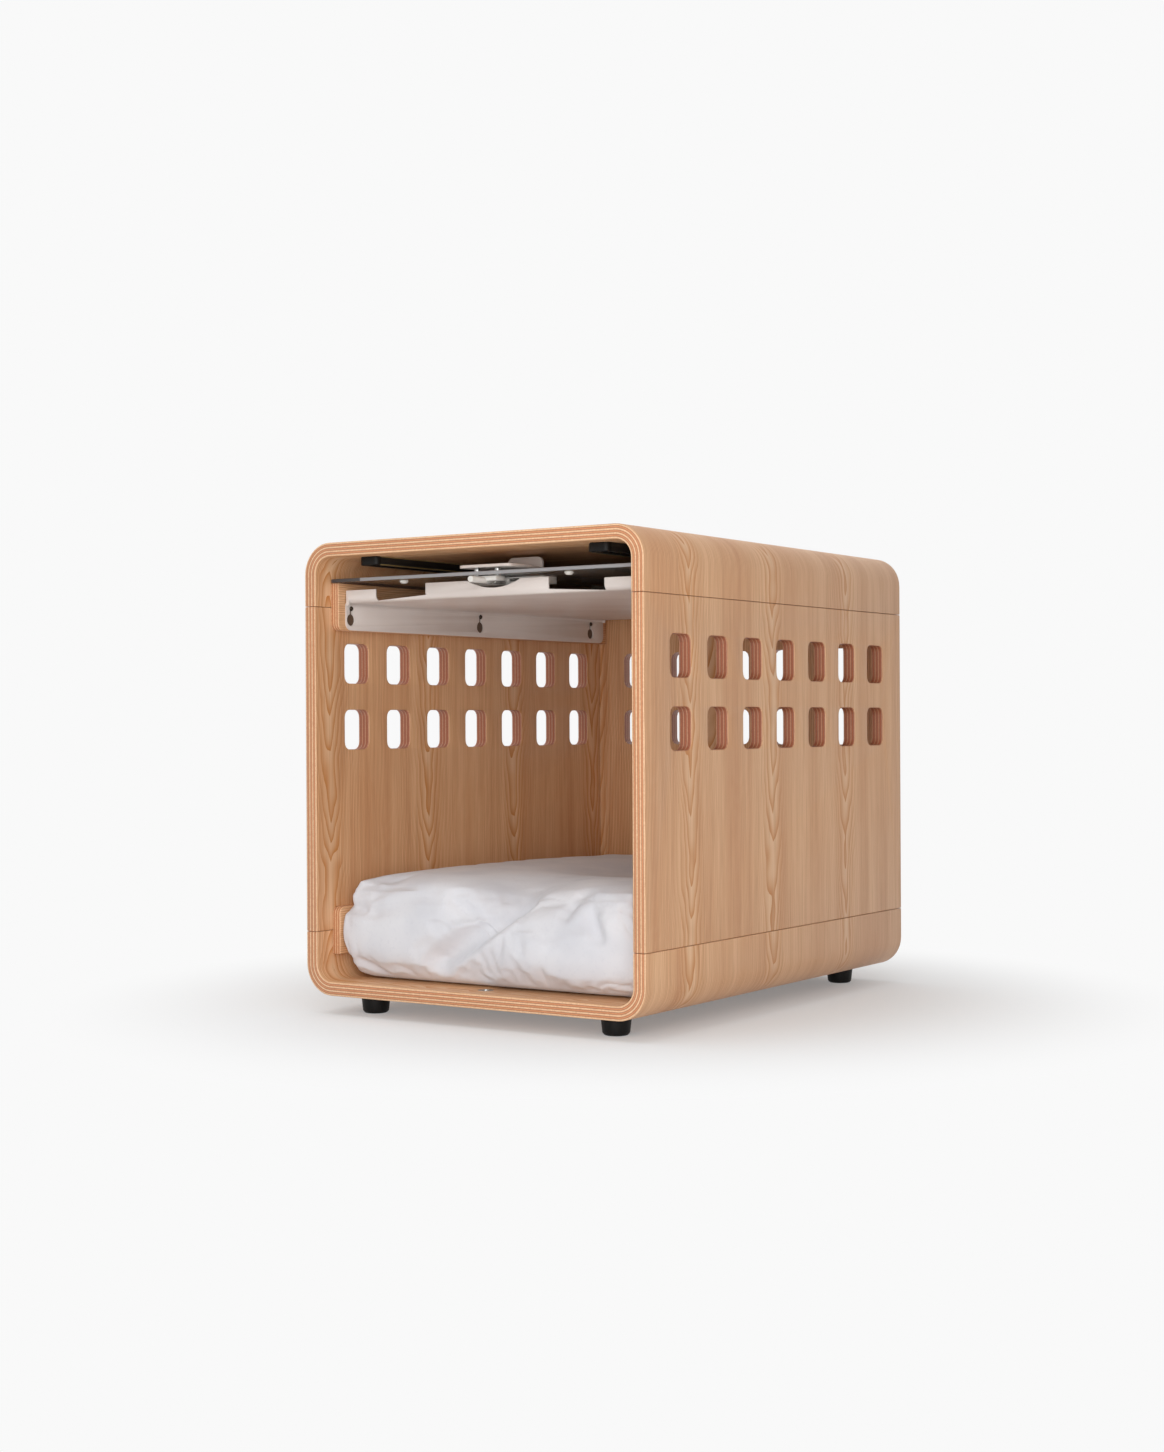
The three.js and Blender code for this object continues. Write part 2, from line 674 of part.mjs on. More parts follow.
function knuckleTube(x0, x1) {
  const ring = new THREE.Shape().absarc(0, 0, hinge.knuckle, 0, 2 * Math.PI);
  ring.holes.push(new THREE.Path().absarc(0, 0, hinge.pinRadius + fit, 0, 2 * Math.PI));
  return slab(ring, 'x', x0, x1, 0, 16).translate(0, hingeY, hingeZ);
}

// The upper half: two outer knuckles on a plate that reaches back under the carriage.
function hingeBracket(side) {
  const inner = hingeInnerX;
  const outer = hingeInnerX + hinge.width;
  const reach = railX + rail.mouth / 2 - carriage.play;
  const rear = carriageBackY - 4;
  const behind = hingeY + hinge.knuckle + 1;
  const plate = block(inner, reach, behind, rear, bracketZ - hinge.leaf, bracketZ);
  const tongues = [[inner, inner + knuckleWidth], [outer - knuckleWidth, outer]].map(([x0, x1]) =>
    block(x0, x1, hingeY, behind + 1, bracketZ - hinge.leaf, bracketZ),
  );
  const spans = [[inner, inner + knuckleWidth], [outer - knuckleWidth, outer]];
  const tubes = spans.map(([x0, x1]) => knuckleTube(x0, x1));
  const bore = rod(hinge.pinRadius + fit, outer - inner + 2, 16)
    .rotateY(Math.PI / 2)
    .translate(inner - 1, hingeY, hingeZ);
  const geometry = geometryOf(cut(join(plate, ...tongues, ...tubes), bore));
  return side < 0 ? mirrored(geometry) : geometry;
}

// The lower half: one middle knuckle on a plate that lies on the gate.
function gateLeaf(side) {
  const inner = hingeInnerX;
  const outer = hingeInnerX + hinge.width;
  const edge = hingeY - hinge.knuckle - 1;
  const plate = block(inner, outer, gateBackY - hinge.leafLength, edge, gateZ, gateZ + hinge.leaf);
  const from = inner + knuckleWidth + fit;
  const to = outer - knuckleWidth - fit;
  const tongue = block(from, to, edge - 1, hingeY, gateZ, gateZ + hinge.leaf);
  const bore = rod(hinge.pinRadius + fit, outer - inner + 2, 16)
    .rotateY(Math.PI / 2)
    .translate(inner - 1, hingeY, hingeZ);
  const holes = gateBoltPlaces(1).map(({ x, y }) =>
    rod(gateBolt.shankRadius + fit, hinge.leaf + 2, 12).translate(x, y, gateZ - 1),
  );
  const geometry = geometryOf(cut(join(plate, tongue, knuckleTube(from, to)), bore, ...holes));
  return side < 0 ? mirrored(geometry) : geometry;
}

function gateBoltPlaces(side) {
  const middle = hingeInnerX + hinge.width / 2;
  const y = gateBackY - gateBolt.fromEdge;
  return [-1, 1].map((step) => ({ x: side * (middle + step * gateBolt.spread), y }));
}

// A copy reflected left to right, with its faces turned to point out again.
function mirrored(geometry) {
  const copy = geometry.clone().scale(-1, 1, 1);
  const index = copy.index.array;
  for (let i = 0; i < index.length; i += 3) {
    [index[i], index[i + 1]] = [index[i + 1], index[i]];
  }
  copy.computeVertexNormals();
  return copy;
}

function gateBoltGeometry() {
  const { headRadius, headHeight, shankRadius } = gateBolt;
  const grip = gate.thickness + hinge.leaf;
  return turned(
    [
      [0, -grip - headHeight],
      [headRadius * 0.7, -grip - headHeight],
      [headRadius, -grip - headHeight * 0.5],
      [headRadius, -grip],
      [shankRadius, -grip],
      [shankRadius, 0],
      [headRadius, 0],
      [headRadius, headHeight * 0.5],
      [headRadius * 0.7, headHeight],
      [0, headHeight],
    ],
    10,
  );
}

for (const [side, sideName] of [[-1, 'left'], [1, 'right']]) {
  add(`hinge_bracket_${sideName}`, hingeBracket(side), brightSteel);
  add(`gate_leaf_${sideName}`, gateLeaf(side), brightSteel);
  const pin = rod(hinge.pinRadius, hinge.width + 2, 16).rotateY(Math.PI / 2);
  const pinX = side > 0 ? hingeInnerX - 1 : -hingeInnerX - hinge.width - 1;
  add(`hinge_pin_${sideName}`, pin, brightSteel, pinX, hingeY, hingeZ);
  gateBoltPlaces(side).forEach(({ x, y }, i) => {
    add(`gate_bolt_${sideName}_${i + 1}`, gateBoltGeometry(), brightSteel, x, y, gateZ + hinge.leaf);
  });
}

// ---- gate sheet and its bumpers --------------------------------------------------------

const postY = gateFrontY + latch.postFromEdge;
const gateLowZ = gateZ - gate.thickness;

function gateGeometry() {
  const half = wallX - gate.wallGap;
  const outline = roundedRect(-half, half, gateFrontY, gateBackY, gate.corner);
  const postReach = latch.postRadius + fit;
  for (const side of [-1, 1]) {
    const x = side * latch.postOffset;
    const back = postY + latch.travel + postReach;
    outline.holes.push(roundedRect(x - postReach, x + postReach, postY - postReach, back, postReach, THREE.Path));
    for (const place of gateBoltPlaces(side)) {
      outline.holes.push(new THREE.Path().absarc(place.x, place.y, gateBolt.shankRadius + fit, 0, 2 * Math.PI));
    }
  }
  return slab(outline, 'z', gateLowZ, gateZ, 0.5, 6);
}

add('gate_panel', gateGeometry(), acrylic);
const bumperX = wallX - gate.wallGap - bumper.fromSide;
for (const [side, sideName] of [[-1, 'left'], [1, 'right']]) {
  const { radius, height } = bumper;
  const profile = [[0, 0], [radius * 0.6, 0], [radius, height * 0.5], [radius, height], [0, height]];
  const y = gateFrontY + bumper.setBack;
  add(`gate_bumper_${sideName}`, turned(profile), softRubber, side * bumperX, y, gateLowZ - height);
}

// ---- latch -----------------------------------------------------------------------------

// The pull: a flat plate that slides over the gate, with a finger tab turned up at its end.
function pullGeometry() {
  const half = pull.width / 2;
  const tabHalf = pull.tabWidth / 2;
  const start = gateFrontY + pull.fromEdge;
  const end = start + pull.length;
  const wide = start + pull.length * 0.45;
  const shape = new THREE.Shape();
  shape.moveTo(-half + pull.corner, start);
  shape.lineTo(half - pull.corner, start);
  shape.absarc(half - pull.corner, start + pull.corner, pull.corner, -Math.PI / 2, 0, false);
  shape.lineTo(half, wide);
  shape.lineTo(tabHalf, end);
  shape.lineTo(-tabHalf, end);
  shape.lineTo(-half, wide);
  shape.absarc(-half + pull.corner, start + pull.corner, pull.corner, Math.PI, 1.5 * Math.PI, false);
  const plate = slab(shape, 'z', pullZ, pullZ + pull.sheet, 0, 4);
  const tabShape = roundedRect(-tabHalf, tabHalf, pullZ, pullZ + pull.tabHeight, [0, 0, pull.corner, pull.corner]);
  const tab = slab(tabShape, 'y', end - pull.sheet, end, 0, 5);
  const holes = [-1, 1].map((side) =>
    rod(latch.postRadius - 1 + fit, pull.sheet + 2).translate(side * latch.postOffset, postY, pullZ - 1),
  );
  return geometryOf(cut(join(plate, tab), ...holes));
}

// Each post carries the pull above the gate and the bolt plate below it.
function postGeometry() {
  const shoulder = pullZ - fit;
  const foot = gateLowZ - fit;
  const tip = latch.postRadius - 1;
  return turned(
    [
      [0, foot - bolt.drop / 2],
      [tip, foot - bolt.drop / 2],
      [tip, foot],
      [latch.postRadius, foot],
      [latch.postRadius, shoulder],
      [tip, shoulder],
      [tip, pullZ + pull.sheet],
      [0, pullZ + pull.sheet],
    ],
    12,
  );
}

function boltGeometry() {
  const half = bolt.plateWidth / 2;
  const y0 = postY - bolt.plateLength / 2;
  const y1 = postY + bolt.plateLength / 2;
  const top = gateLowZ - 2 * fit;
  const plate = block(-half, half, y0, y1, top - bolt.drop, top);
  const length = y1 - (gateFrontY - bolt.reach);
  const pin = rod(bolt.radius, length, 20).rotateX(-Math.PI / 2).translate(0, gateFrontY - bolt.reach, boltZ);
  const holes = [-1, 1].map((side) =>
    rod(latch.postRadius - 1 + fit, bolt.drop + 2).translate(side * latch.postOffset, postY, top - bolt.drop / 2 - fit),
  );
  return geometryOf(cut(join(plate, pin), ...holes));
}

// A shallow channel under the gate with oval holes along its front wall.
function housingGeometry() {
  const half = housing.width / 2;
  const y0 = gateFrontY + housing.fromEdge;
  const y1 = y0 + housing.length;
  const low = gateLowZ - housing.height;
  const shell = solid(slab(roundedRect(-half, half, y0, y1, 4), 'z', low, gateLowZ));
  const t = housing.sheet;
  const inside = slab(roundedRect(-half + t, half - t, y0 + t, y1 - t, 3), 'z', low + t, gateLowZ + 1);
  const middle = (low + t + gateLowZ) / 2;
  const halfHole = housing.holeHeight / 2;
  const ovals = housingHoles.map(({ x, width }) =>
    slab(
      roundedRect(x - width / 2, x + width / 2, middle - halfHole, middle + halfHole, halfHole - 0.01),
      'y',
      y0 - 1,
      y0 + t + 1,
    ),
  );
  return geometryOf(cut(shell, inside, ...ovals));
}

// The return spring, one unbroken wire between the bolt plate and the housing.
function springGeometry() {
  const start = postY + bolt.plateLength / 2 + spring.wire + fit;
  const end = gateFrontY + housing.fromEdge - spring.wire - fit;
  const steps = spring.turns * 8;
  const points = Array.from({ length: steps + 1 }, (_, i) => {
    const angle = (i / 8) * 2 * Math.PI;
    const y = start + ((end - start) * i) / steps;
    return new THREE.Vector3(spring.radius * Math.cos(angle), y, spring.radius * Math.sin(angle));
  });
  const wire = new THREE.Shape().absarc(0, 0, spring.wire, 0, 2 * Math.PI);
  const path = new THREE.CatmullRomCurve3(points);
  return new THREE.ExtrudeGeometry(wire, { steps, curveSegments: 2.5, bevelEnabled: false, extrudePath: path });
}

add('latch_pull', pullGeometry(), whiteCoat);
add('latch_post_left', postGeometry(), brightSteel, -latch.postOffset, postY, 0);
add('latch_post_right', postGeometry(), brightSteel, latch.postOffset, postY, 0);
add('latch_bolt', boltGeometry(), nylon);
add('latch_housing', housingGeometry(), whiteCoat);
add('latch_spring', springGeometry(), brightSteel, 0, 0, boltZ);

const barY = gateFrontY + guideBar.fromEdge;
const barShape = roundedRect(-guideBar.width / 2, guideBar.width / 2, barY, barY + guideBar.length, 2);
add('latch_guide_bar', slab(barShape, 'z', gateZ, pullZ - 2 * fit, 0, 3), greyBar);

// The strike: a flanged bush let into the floor where the bolt lands when the gate is shut.
const bushInner = bolt.radius + fit;
const bushOuter = bushInner + strike.wall;
const strikeProfile = [
  [bushInner, -strike.depth],
  [bushOuter, -strike.depth],
  [bushOuter, -strike.rim],
  [strike.flange, -strike.rim],
  [strike.flange, 0],
  [bushInner, 0],
  [bushInner, -strike.depth],
];
add('strike_bush', turned(strikeProfile, 16), brightSteel, 0, strikeY, floorZ);

// ---- cushion ---------------------------------------------------------------------------

// A slack boxed cushion: its sides bulge low down and draw in under it, its corners are full,
// and its top is pressed down where the dents are. A ring of points at r = 1 is the bulge.
function cushionGeometry() {
  const across = 22;
  const along = 26;
  const halfX = cleatX - cushion.sideGap;
  const { height, bulgeHeight, tuck } = cushion;
  const positions = [];
  const index = [];
  const warp = (t) => Math.sin((t * Math.PI) / 2);
  for (const layer of [1, -1]) {
    for (let j = 0; j <= along; j += 1) {
      for (let i = 0; i <= across; i += 1) {
        const u = warp((2 * i) / across - 1);
        const v = warp((2 * j) / along - 1);
        const r = Math.max(Math.abs(u), Math.abs(v));
        const round = r > 0 ? r / (Math.abs(u) ** 14 + Math.abs(v) ** 14) ** (1 / 14) : 1;
        const x = u * round * halfX;
        const y = cushionY + v * round * cushionHalfY;
        const flat = 1 - tuck / halfX;
        const under = Math.min(1, Math.max(0, (r - flat) / (1 - flat)));
        const over = (1 - r ** 16) ** 0.36;
        const pressed = dents.reduce((sum, dent) => {
          const away = ((x - dent.x) / dent.wide) ** 2 + ((y - dent.y) / dent.long) ** 2;
          return sum + dent.depth * Math.exp(-3 * away);
        }, 0);
        const top = bulgeHeight + (height - pressed - bulgeHeight) * over;
        const bottom = bulgeHeight * (1 - Math.sqrt(1 - under * under));
        positions.push(x, y, layer > 0 ? top : bottom);
      }
    }
  }
  const row = across + 1;
  const size = row * (along + 1);
  for (let j = 0; j < along; j += 1) {
    for (let i = 0; i < across; i += 1) {
      const a = j * row + i;
      index.push(a, a + 1, a + row + 1, a, a + row + 1, a + row);
      index.push(size + a, size + a + row + 1, size + a + 1, size + a, size + a + row, size + a + row + 1);
    }
  }
  const geometry = new THREE.BufferGeometry();
  geometry.setAttribute('position', new THREE.Float32BufferAttribute(positions, 3));
  geometry.setIndex(index);
  return geometry;
}

const cushionMesh = mergeVertices(cushionGeometry(), 1e-3);
cushionMesh.computeVertexNormals();
add('floor_cushion', cushionMesh, cotton, 0, 0, floorZ + fit);

export default crate;
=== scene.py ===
import math

import bmesh
import bpy
from mathutils import Matrix, Vector


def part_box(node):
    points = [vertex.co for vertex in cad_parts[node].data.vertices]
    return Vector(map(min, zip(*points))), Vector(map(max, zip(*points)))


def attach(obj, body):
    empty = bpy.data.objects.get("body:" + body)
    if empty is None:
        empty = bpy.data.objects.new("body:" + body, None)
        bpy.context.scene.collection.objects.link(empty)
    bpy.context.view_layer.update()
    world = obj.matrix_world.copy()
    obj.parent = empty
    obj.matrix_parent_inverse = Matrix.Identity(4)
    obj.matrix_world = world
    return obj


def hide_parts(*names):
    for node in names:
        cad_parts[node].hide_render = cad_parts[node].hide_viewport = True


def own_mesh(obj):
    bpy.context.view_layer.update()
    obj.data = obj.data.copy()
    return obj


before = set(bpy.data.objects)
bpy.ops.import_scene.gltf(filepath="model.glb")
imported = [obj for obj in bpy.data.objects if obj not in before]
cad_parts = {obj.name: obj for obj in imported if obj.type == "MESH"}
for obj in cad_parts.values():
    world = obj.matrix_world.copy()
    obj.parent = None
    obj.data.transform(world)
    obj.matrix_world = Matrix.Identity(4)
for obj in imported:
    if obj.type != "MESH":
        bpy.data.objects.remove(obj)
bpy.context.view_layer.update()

scene = bpy.context.scene

# ---- Camera and light -------------------------------------------------------------------
# The crate was photographed from low down, level with its middle, 33.7 degrees round from
# its open front, with a short telephoto lens and a wide soft light over and before it.

yaw, pitch, roll = 0.5884, 0.0021, -0.0053
camera_place = (1.379, -2.1462, 0.3364)
ahead = Vector((-math.sin(yaw) * math.cos(pitch), math.cos(yaw) * math.cos(pitch), -math.sin(pitch)))
level_right = ahead.cross(Vector((0, 0, 1))).normalized()
level_up = level_right.cross(ahead)
camera_right = level_right * math.cos(roll) + level_up * math.sin(roll)
camera_up = level_up * math.cos(roll) - level_right * math.sin(roll)
lens = bpy.data.cameras.new("photo_camera")
lens.sensor_fit = "VERTICAL"
lens.sensor_height = 36
lens.lens = 51.69
lens.clip_start = 0.05
camera = bpy.data.objects.new("photo_camera", lens)
camera.matrix_world = (
    Matrix.Translation(camera_place)
    @ Matrix((camera_right, camera_up, -ahead)).transposed().to_4x4()
)
scene.collection.objects.link(camera)
scene.camera = camera
scene.view_settings.view_transform = "Standard"


def softbox(name, place, target, size, watts, mirrored=True):
    lamp = bpy.data.lights.new(name, "AREA")
    lamp.shape = "RECTANGLE"
    lamp.size, lamp.size_y = size
    lamp.energy = watts
    lamp_object = bpy.data.objects.new(name, lamp)
    lamp_object.location = place
    lamp_object.rotation_euler = (Vector(target) - Vector(place)).to_track_quat("-Z", "Y").to_euler()
    lamp_object.visible_glossy = mirrored
    scene.collection.objects.link(lamp_object)


softbox("overhead_softbox", (-0.5, -0.4, 2.7), (0, 0, 0.2), (3.4, 3.0), 40, False)
softbox("front_softbox", (1.6, -2.4, 0.9), (0, 0, 0.3), (2.0, 1.5), 29.5)
softbox("opening_softbox", (0.65, -1.5, 0.25), (-0.15, -0.1, 0.36), (0.6, 0.5), 4.3)


# ---- Floor and white studio background --------------------------------------------------
# A pale floor keeps the soft shadow near the crate, and turns into the plain white of the
# background further out.


def linear(hex_colour):
    """sRGB hex to the linear colour that a shader takes."""
    parts = [int(hex_colour[i : i + 2], 16) / 255 for i in (1, 3, 5)]
    return tuple(c / 12.92 if c <= 0.04045 else ((c + 0.055) / 1.055) ** 2.4 for c in parts) + (1.0,)


def add(tree, kind, inputs=(), **settings):
    """Adds a node with its settings. An input takes a number, a colour, a node or a socket."""
    made = tree.nodes.new(kind)
    for setting, value in settings.items():
        setattr(made, setting, value)
    for socket, value in dict(inputs).items():
        if isinstance(value, bpy.types.Node):
            value = value.outputs[0]
        if isinstance(value, bpy.types.NodeSocket):
            tree.links.new(value, made.inputs[socket])
        else:
            made.inputs[socket].default_value = value
    return made


def blank_material(name):
    material = bpy.data.materials.new(name)
    material.use_nodes = True
    material.node_tree.nodes.clear()
    return material


def studio_paper():
    """Matt white paper. From 0.26 m to 0.7 m from the crate's middle it fades into lit white."""
    material = blank_material("studio_paper")
    tree = material.node_tree
    place = add(tree, "ShaderNodeTexCoord")
    distance = add(tree, "ShaderNodeVectorMath", {0: place.outputs["Object"]}, operation="LENGTH")
    fade = add(
        tree,
        "ShaderNodeMapRange",
        {"Value": distance.outputs["Value"], "From Min": 0.26, "From Max": 0.7, "To Min": 0.22},
        interpolation_type="SMOOTHSTEP",
    )
    paper = add(tree, "ShaderNodeBsdfDiffuse", {"Color": linear("#EFF0F1")})
    white = add(tree, "ShaderNodeEmission", {"Color": linear("#F9F9F9"), "Strength": 1.0})
    mixed = add(tree, "ShaderNodeMixShader", {0: fade, 1: paper, 2: white})
    rays = add(tree, "ShaderNodeLightPath")
    seen = add(
        tree,
        "ShaderNodeMath",
        {0: rays.outputs["Is Camera Ray"], 1: rays.outputs["Is Glossy Ray"]},
        operation="MAXIMUM",
    )
    seen = add(
        tree,
        "ShaderNodeMath",
        {0: seen, 1: rays.outputs["Is Transmission Ray"]},
        operation="MAXIMUM",
    )
    final = add(tree, "ShaderNodeMixShader", {0: seen, 1: paper, 2: mixed})
    add(tree, "ShaderNodeOutputMaterial", {"Surface": final})
    return material


floor_form = bmesh.new()
bmesh.ops.create_circle(floor_form, cap_ends=True, segments=96, radius=9.0)
floor_mesh = bpy.data.meshes.new("studio_floor")
floor_form.to_mesh(floor_mesh)
floor_form.free()
floor_mesh.materials.append(studio_paper())
studio_floor = bpy.data.objects.new("studio_floor", floor_mesh)
scene.collection.objects.link(studio_floor)

world = bpy.data.worlds.new("white_studio")
world.use_nodes = True
world.node_tree.nodes.clear()
world_rays = add(world.node_tree, "ShaderNodeLightPath")
world_seen = add(
    world.node_tree,
    "ShaderNodeMath",
    {0: world_rays.outputs["Is Camera Ray"], 1: world_rays.outputs["Is Glossy Ray"]},
    operation="MAXIMUM",
)
world_seen = add(
    world.node_tree,
    "ShaderNodeMath",
    {0: world_seen, 1: world_rays.outputs["Is Transmission Ray"]},
    operation="MAXIMUM",
)
soft_fill = add(world.node_tree, "ShaderNodeBackground", {"Color": linear("#FFFFFF"), "Strength": 0.34})
white_wall = add(world.node_tree, "ShaderNodeBackground", {"Color": linear("#F9F9F9"), "Strength": 1.0})
world_mix = add(world.node_tree, "ShaderNodeMixShader", {0: world_seen, 1: soft_fill, 2: white_wall})
add(world.node_tree, "ShaderNodeOutputWorld", {"Surface": world_mix})
scene.world = world


# ---- Bent shells and side panels --------------------------------------------------------
# The top and bottom are plywood bent in a press to 36 mm corners, and flat plywood sides
# join them. All are 16 mm thick: 7 plies under a pale ash-like veneer, in satin lacquer.


def crisp_edges(name, width):
    """Breaks a CAD node's sharp edges and shades its curves smooth, by modifiers alone."""
    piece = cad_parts[name]
    weld = piece.modifiers.new("weld", "WELD")
    weld.merge_threshold = 0.000005
    bevel = piece.modifiers.new("broken_edge", "BEVEL")
    bevel.width = width
    bevel.segments = 2
    bevel.limit_method = "ANGLE"
    bevel.angle_limit = math.radians(38)
    bevel.use_clamp_overlap = True
    shade = piece.modifiers.new("shade", "NODES")
    shade.node_group = smooth_shading
    return piece


smooth_shading = bpy.data.node_groups.new("smooth_shading", "GeometryNodeTree")
smooth_shading.interface.new_socket("Geometry", in_out="INPUT", socket_type="NodeSocketGeometry")
smooth_shading.interface.new_socket("Geometry", in_out="OUTPUT", socket_type="NodeSocketGeometry")
shape_in = add(smooth_shading, "NodeGroupInput")
all_smooth = add(
    smooth_shading,
    "GeometryNodeSetShadeSmooth",
    {"Geometry": shape_in, "Shade Smooth": True},
    domain="FACE",
)
edge_turn = add(smooth_shading, "GeometryNodeInputMeshEdgeAngle")
is_sharp = add(
    smooth_shading,
    "FunctionNodeCompare",
    {0: edge_turn.outputs["Unsigned Angle"], 1: math.radians(32)},
    data_type="FLOAT",
    operation="GREATER_THAN",
)
kept_sharp = add(
    smooth_shading,
    "GeometryNodeSetShadeSmooth",
    {"Geometry": all_smooth, "Selection": is_sharp, "Shade Smooth": False},
    domain="EDGE",
)
add(smooth_shading, "NodeGroupOutput", {0: kept_sharp})


def veneered_plywood(name, lay):
    """Rotary birch plies under a pale softwood-grained veneer, with a satin lacquer.

    lay says how the sheet lies: bent round the box, or flat across the back. The veneer
    shows fine straight lines 2.6 mm apart that run up into narrow nested flames, 185 mm
    apart, where the log was cut through its middle. Cut edges show the plies and glue.
    """
    material = blank_material(name)
    tree = material.node_tree
    place = add(tree, "ShaderNodeTexCoord")
    # Millimetres from the middle of the box.
    in_mm = add(
        tree,
        "ShaderNodeMapping",
        {"Vector": place.outputs["Object"], "Location": (0, 0, -283), "Scale": (1000, 1000, 1000)},
    )
    split = add(tree, "ShaderNodeSeparateXYZ", {0: in_mm})
    x, y, z = split.outputs
    if lay == "bent":
        # The flat of the top ends at flat_x and that of the legs at flat_z. Past the seams the
        # sides are panels.
        bend_radius, flat_x, flat_z, seam_z = 36.0, 196.0, 225.0, 188.5
        bend_length = 56.5
        size_x = add(tree, "ShaderNodeMath", {0: x}, operation="ABSOLUTE")
        size_z = add(tree, "ShaderNodeMath", {0: z}, operation="ABSOLUTE")
        past_x = add(tree, "ShaderNodeMath", {0: size_x, 1: flat_x}, operation="SUBTRACT")
        past_z = add(tree, "ShaderNodeMath", {0: size_z, 1: flat_z}, operation="SUBTRACT")
        round_x = add(tree, "ShaderNodeMath", {0: past_x, 1: 0.0}, operation="MAXIMUM")
        round_z = add(tree, "ShaderNodeMath", {0: past_z, 1: 0.0}, operation="MAXIMUM")
        corner = add(tree, "ShaderNodeCombineXYZ", {0: round_x, 1: round_z})
        corner_reach = add(tree, "ShaderNodeVectorMath", {0: corner}, operation="LENGTH")
        inner = add(tree, "ShaderNodeMath", {0: past_x, 1: past_z}, operation="MAXIMUM")
        inner = add(tree, "ShaderNodeMath", {0: inner, 1: 0.0}, operation="MINIMUM")
        reach = add(
            tree, "ShaderNodeMath", {0: corner_reach.outputs["Value"], 1: inner}, operation="ADD"
        )
        depth = add(tree, "ShaderNodeMath", {0: bend_radius, 1: reach}, operation="SUBTRACT")
        # The grain runs round the bend, so its length is measured along the outline: across the
        # board from its middle, round the corner, and down the leg.
        flat_run = add(tree, "ShaderNodeMath", {0: size_x, 1: flat_x}, operation="MINIMUM")
        turn = add(tree, "ShaderNodeMath", {0: round_z, 1: round_x}, operation="ARCTAN2")
        bend_run = add(
            tree,
            "ShaderNodeMath",
            {0: turn, 1: -bend_radius, 2: flat_z + bend_length},
            operation="MULTIPLY_ADD",
        )
        leg_run = add(tree, "ShaderNodeMath", {0: size_z, 1: flat_z}, operation="MINIMUM")
        shell_run = add(tree, "ShaderNodeMath", {0: flat_run, 1: bend_run}, operation="ADD")
        shell_run = add(tree, "ShaderNodeMath", {0: shell_run, 1: leg_run}, operation="SUBTRACT")
        quarter = add(tree, "ShaderNodeMath", {0: x, 1: z}, operation="MULTIPLY")
        quarter = add(tree, "ShaderNodeMath", {0: quarter}, operation="SIGN")
        shell_run = add(tree, "ShaderNodeMath", {0: shell_run, 1: quarter}, operation="MULTIPLY")
        leg_start = flat_x + bend_length + flat_z
        panel_run = add(tree, "ShaderNodeMath", {0: leg_start, 1: z}, operation="SUBTRACT")
        is_panel = add(tree, "ShaderNodeMath", {0: size_z, 1: seam_z}, operation="LESS_THAN")
        along = add(
            tree, "ShaderNodeMix", {0: is_panel, 2: shell_run, 3: panel_run}, data_type="FLOAT"
        )
        thickness = 16.0
        # Each face is its own sheet of veneer, cut 67 mm further on inside than outside, and
        # the left panel is another again.
        sheet = add(tree, "ShaderNodeMath", {0: depth, 1: thickness / 2}, operation="GREATER_THAN")
        sheet = add(tree, "ShaderNodeMath", {0: sheet, 1: 67.0, 2: 218.0}, operation="MULTIPLY_ADD")
        across = add(tree, "ShaderNodeMath", {0: y, 1: sheet}, operation="ADD")
        on_left = add(tree, "ShaderNodeMath", {0: x, 1: 0.0}, operation="LESS_THAN")
        on_left = add(tree, "ShaderNodeMath", {0: on_left, 1: is_panel}, operation="MULTIPLY")
        sheet_mark = add(
            tree, "ShaderNodeMath", {0: on_left, 1: 31.0, 2: sheet}, operation="MULTIPLY_ADD"
        )
    elif lay == "back":
        thickness, outer_face_y = 16.0, 304.0
        depth = add(tree, "ShaderNodeMath", {0: outer_face_y, 1: y}, operation="SUBTRACT")
        along = add(tree, "ShaderNodeMath", {0: 500.0, 1: z}, operation="SUBTRACT")
        across = add(tree, "ShaderNodeMath", {0: x, 1: 40.0}, operation="ADD")
        sheet_mark = add(
            tree, "ShaderNodeMath", {0: depth, 1: thickness / 2}, operation="GREATER_THAN"
        )
    else:
        thickness, side_wall_x = 12.0, 216.0
        size_x = add(tree, "ShaderNodeMath", {0: x}, operation="ABSOLUTE")
        depth = add(tree, "ShaderNodeMath", {0: side_wall_x, 1: size_x}, operation="SUBTRACT")
        along = add(tree, "ShaderNodeMath", {0: y, 1: 400.0}, operation="ADD")
        across = add(tree, "ShaderNodeMath", {0: z, 1: 130.0}, operation="ADD")
        sheet_mark = add(tree, "ShaderNodeMath", {0: x}, operation="SIGN")

    # Slow drift of the grain lines: the fibres wander a few millimetres over a hand's length.
    sheet_place = add(tree, "ShaderNodeCombineXYZ", {0: across, 1: along, 2: sheet_mark})
    drift_place = add(
        tree, "ShaderNodeMapping", {"Vector": sheet_place, "Scale": (0.016, 0.0045, 1.7)}
    )
    drift = add(
        tree,
        "ShaderNodeTexNoise",
        {"Vector": drift_place, "Scale": 1.0, "Detail": 2.0, "Roughness": 0.45},
    )
    drifted = add(tree, "ShaderNodeMath", {0: drift, 1: 13.0, 2: across}, operation="MULTIPLY_ADD")
    flame_gap = 185.0
    in_sheet = add(tree, "ShaderNodeMath", {0: drifted, 1: 86.0}, operation="ADD")
    in_sheet = add(tree, "ShaderNodeMath", {0: in_sheet, 1: flame_gap}, operation="FLOORED_MODULO")
    from_middle = add(tree, "ShaderNodeMath", {0: in_sheet, 1: flame_gap / 2}, operation="SUBTRACT")
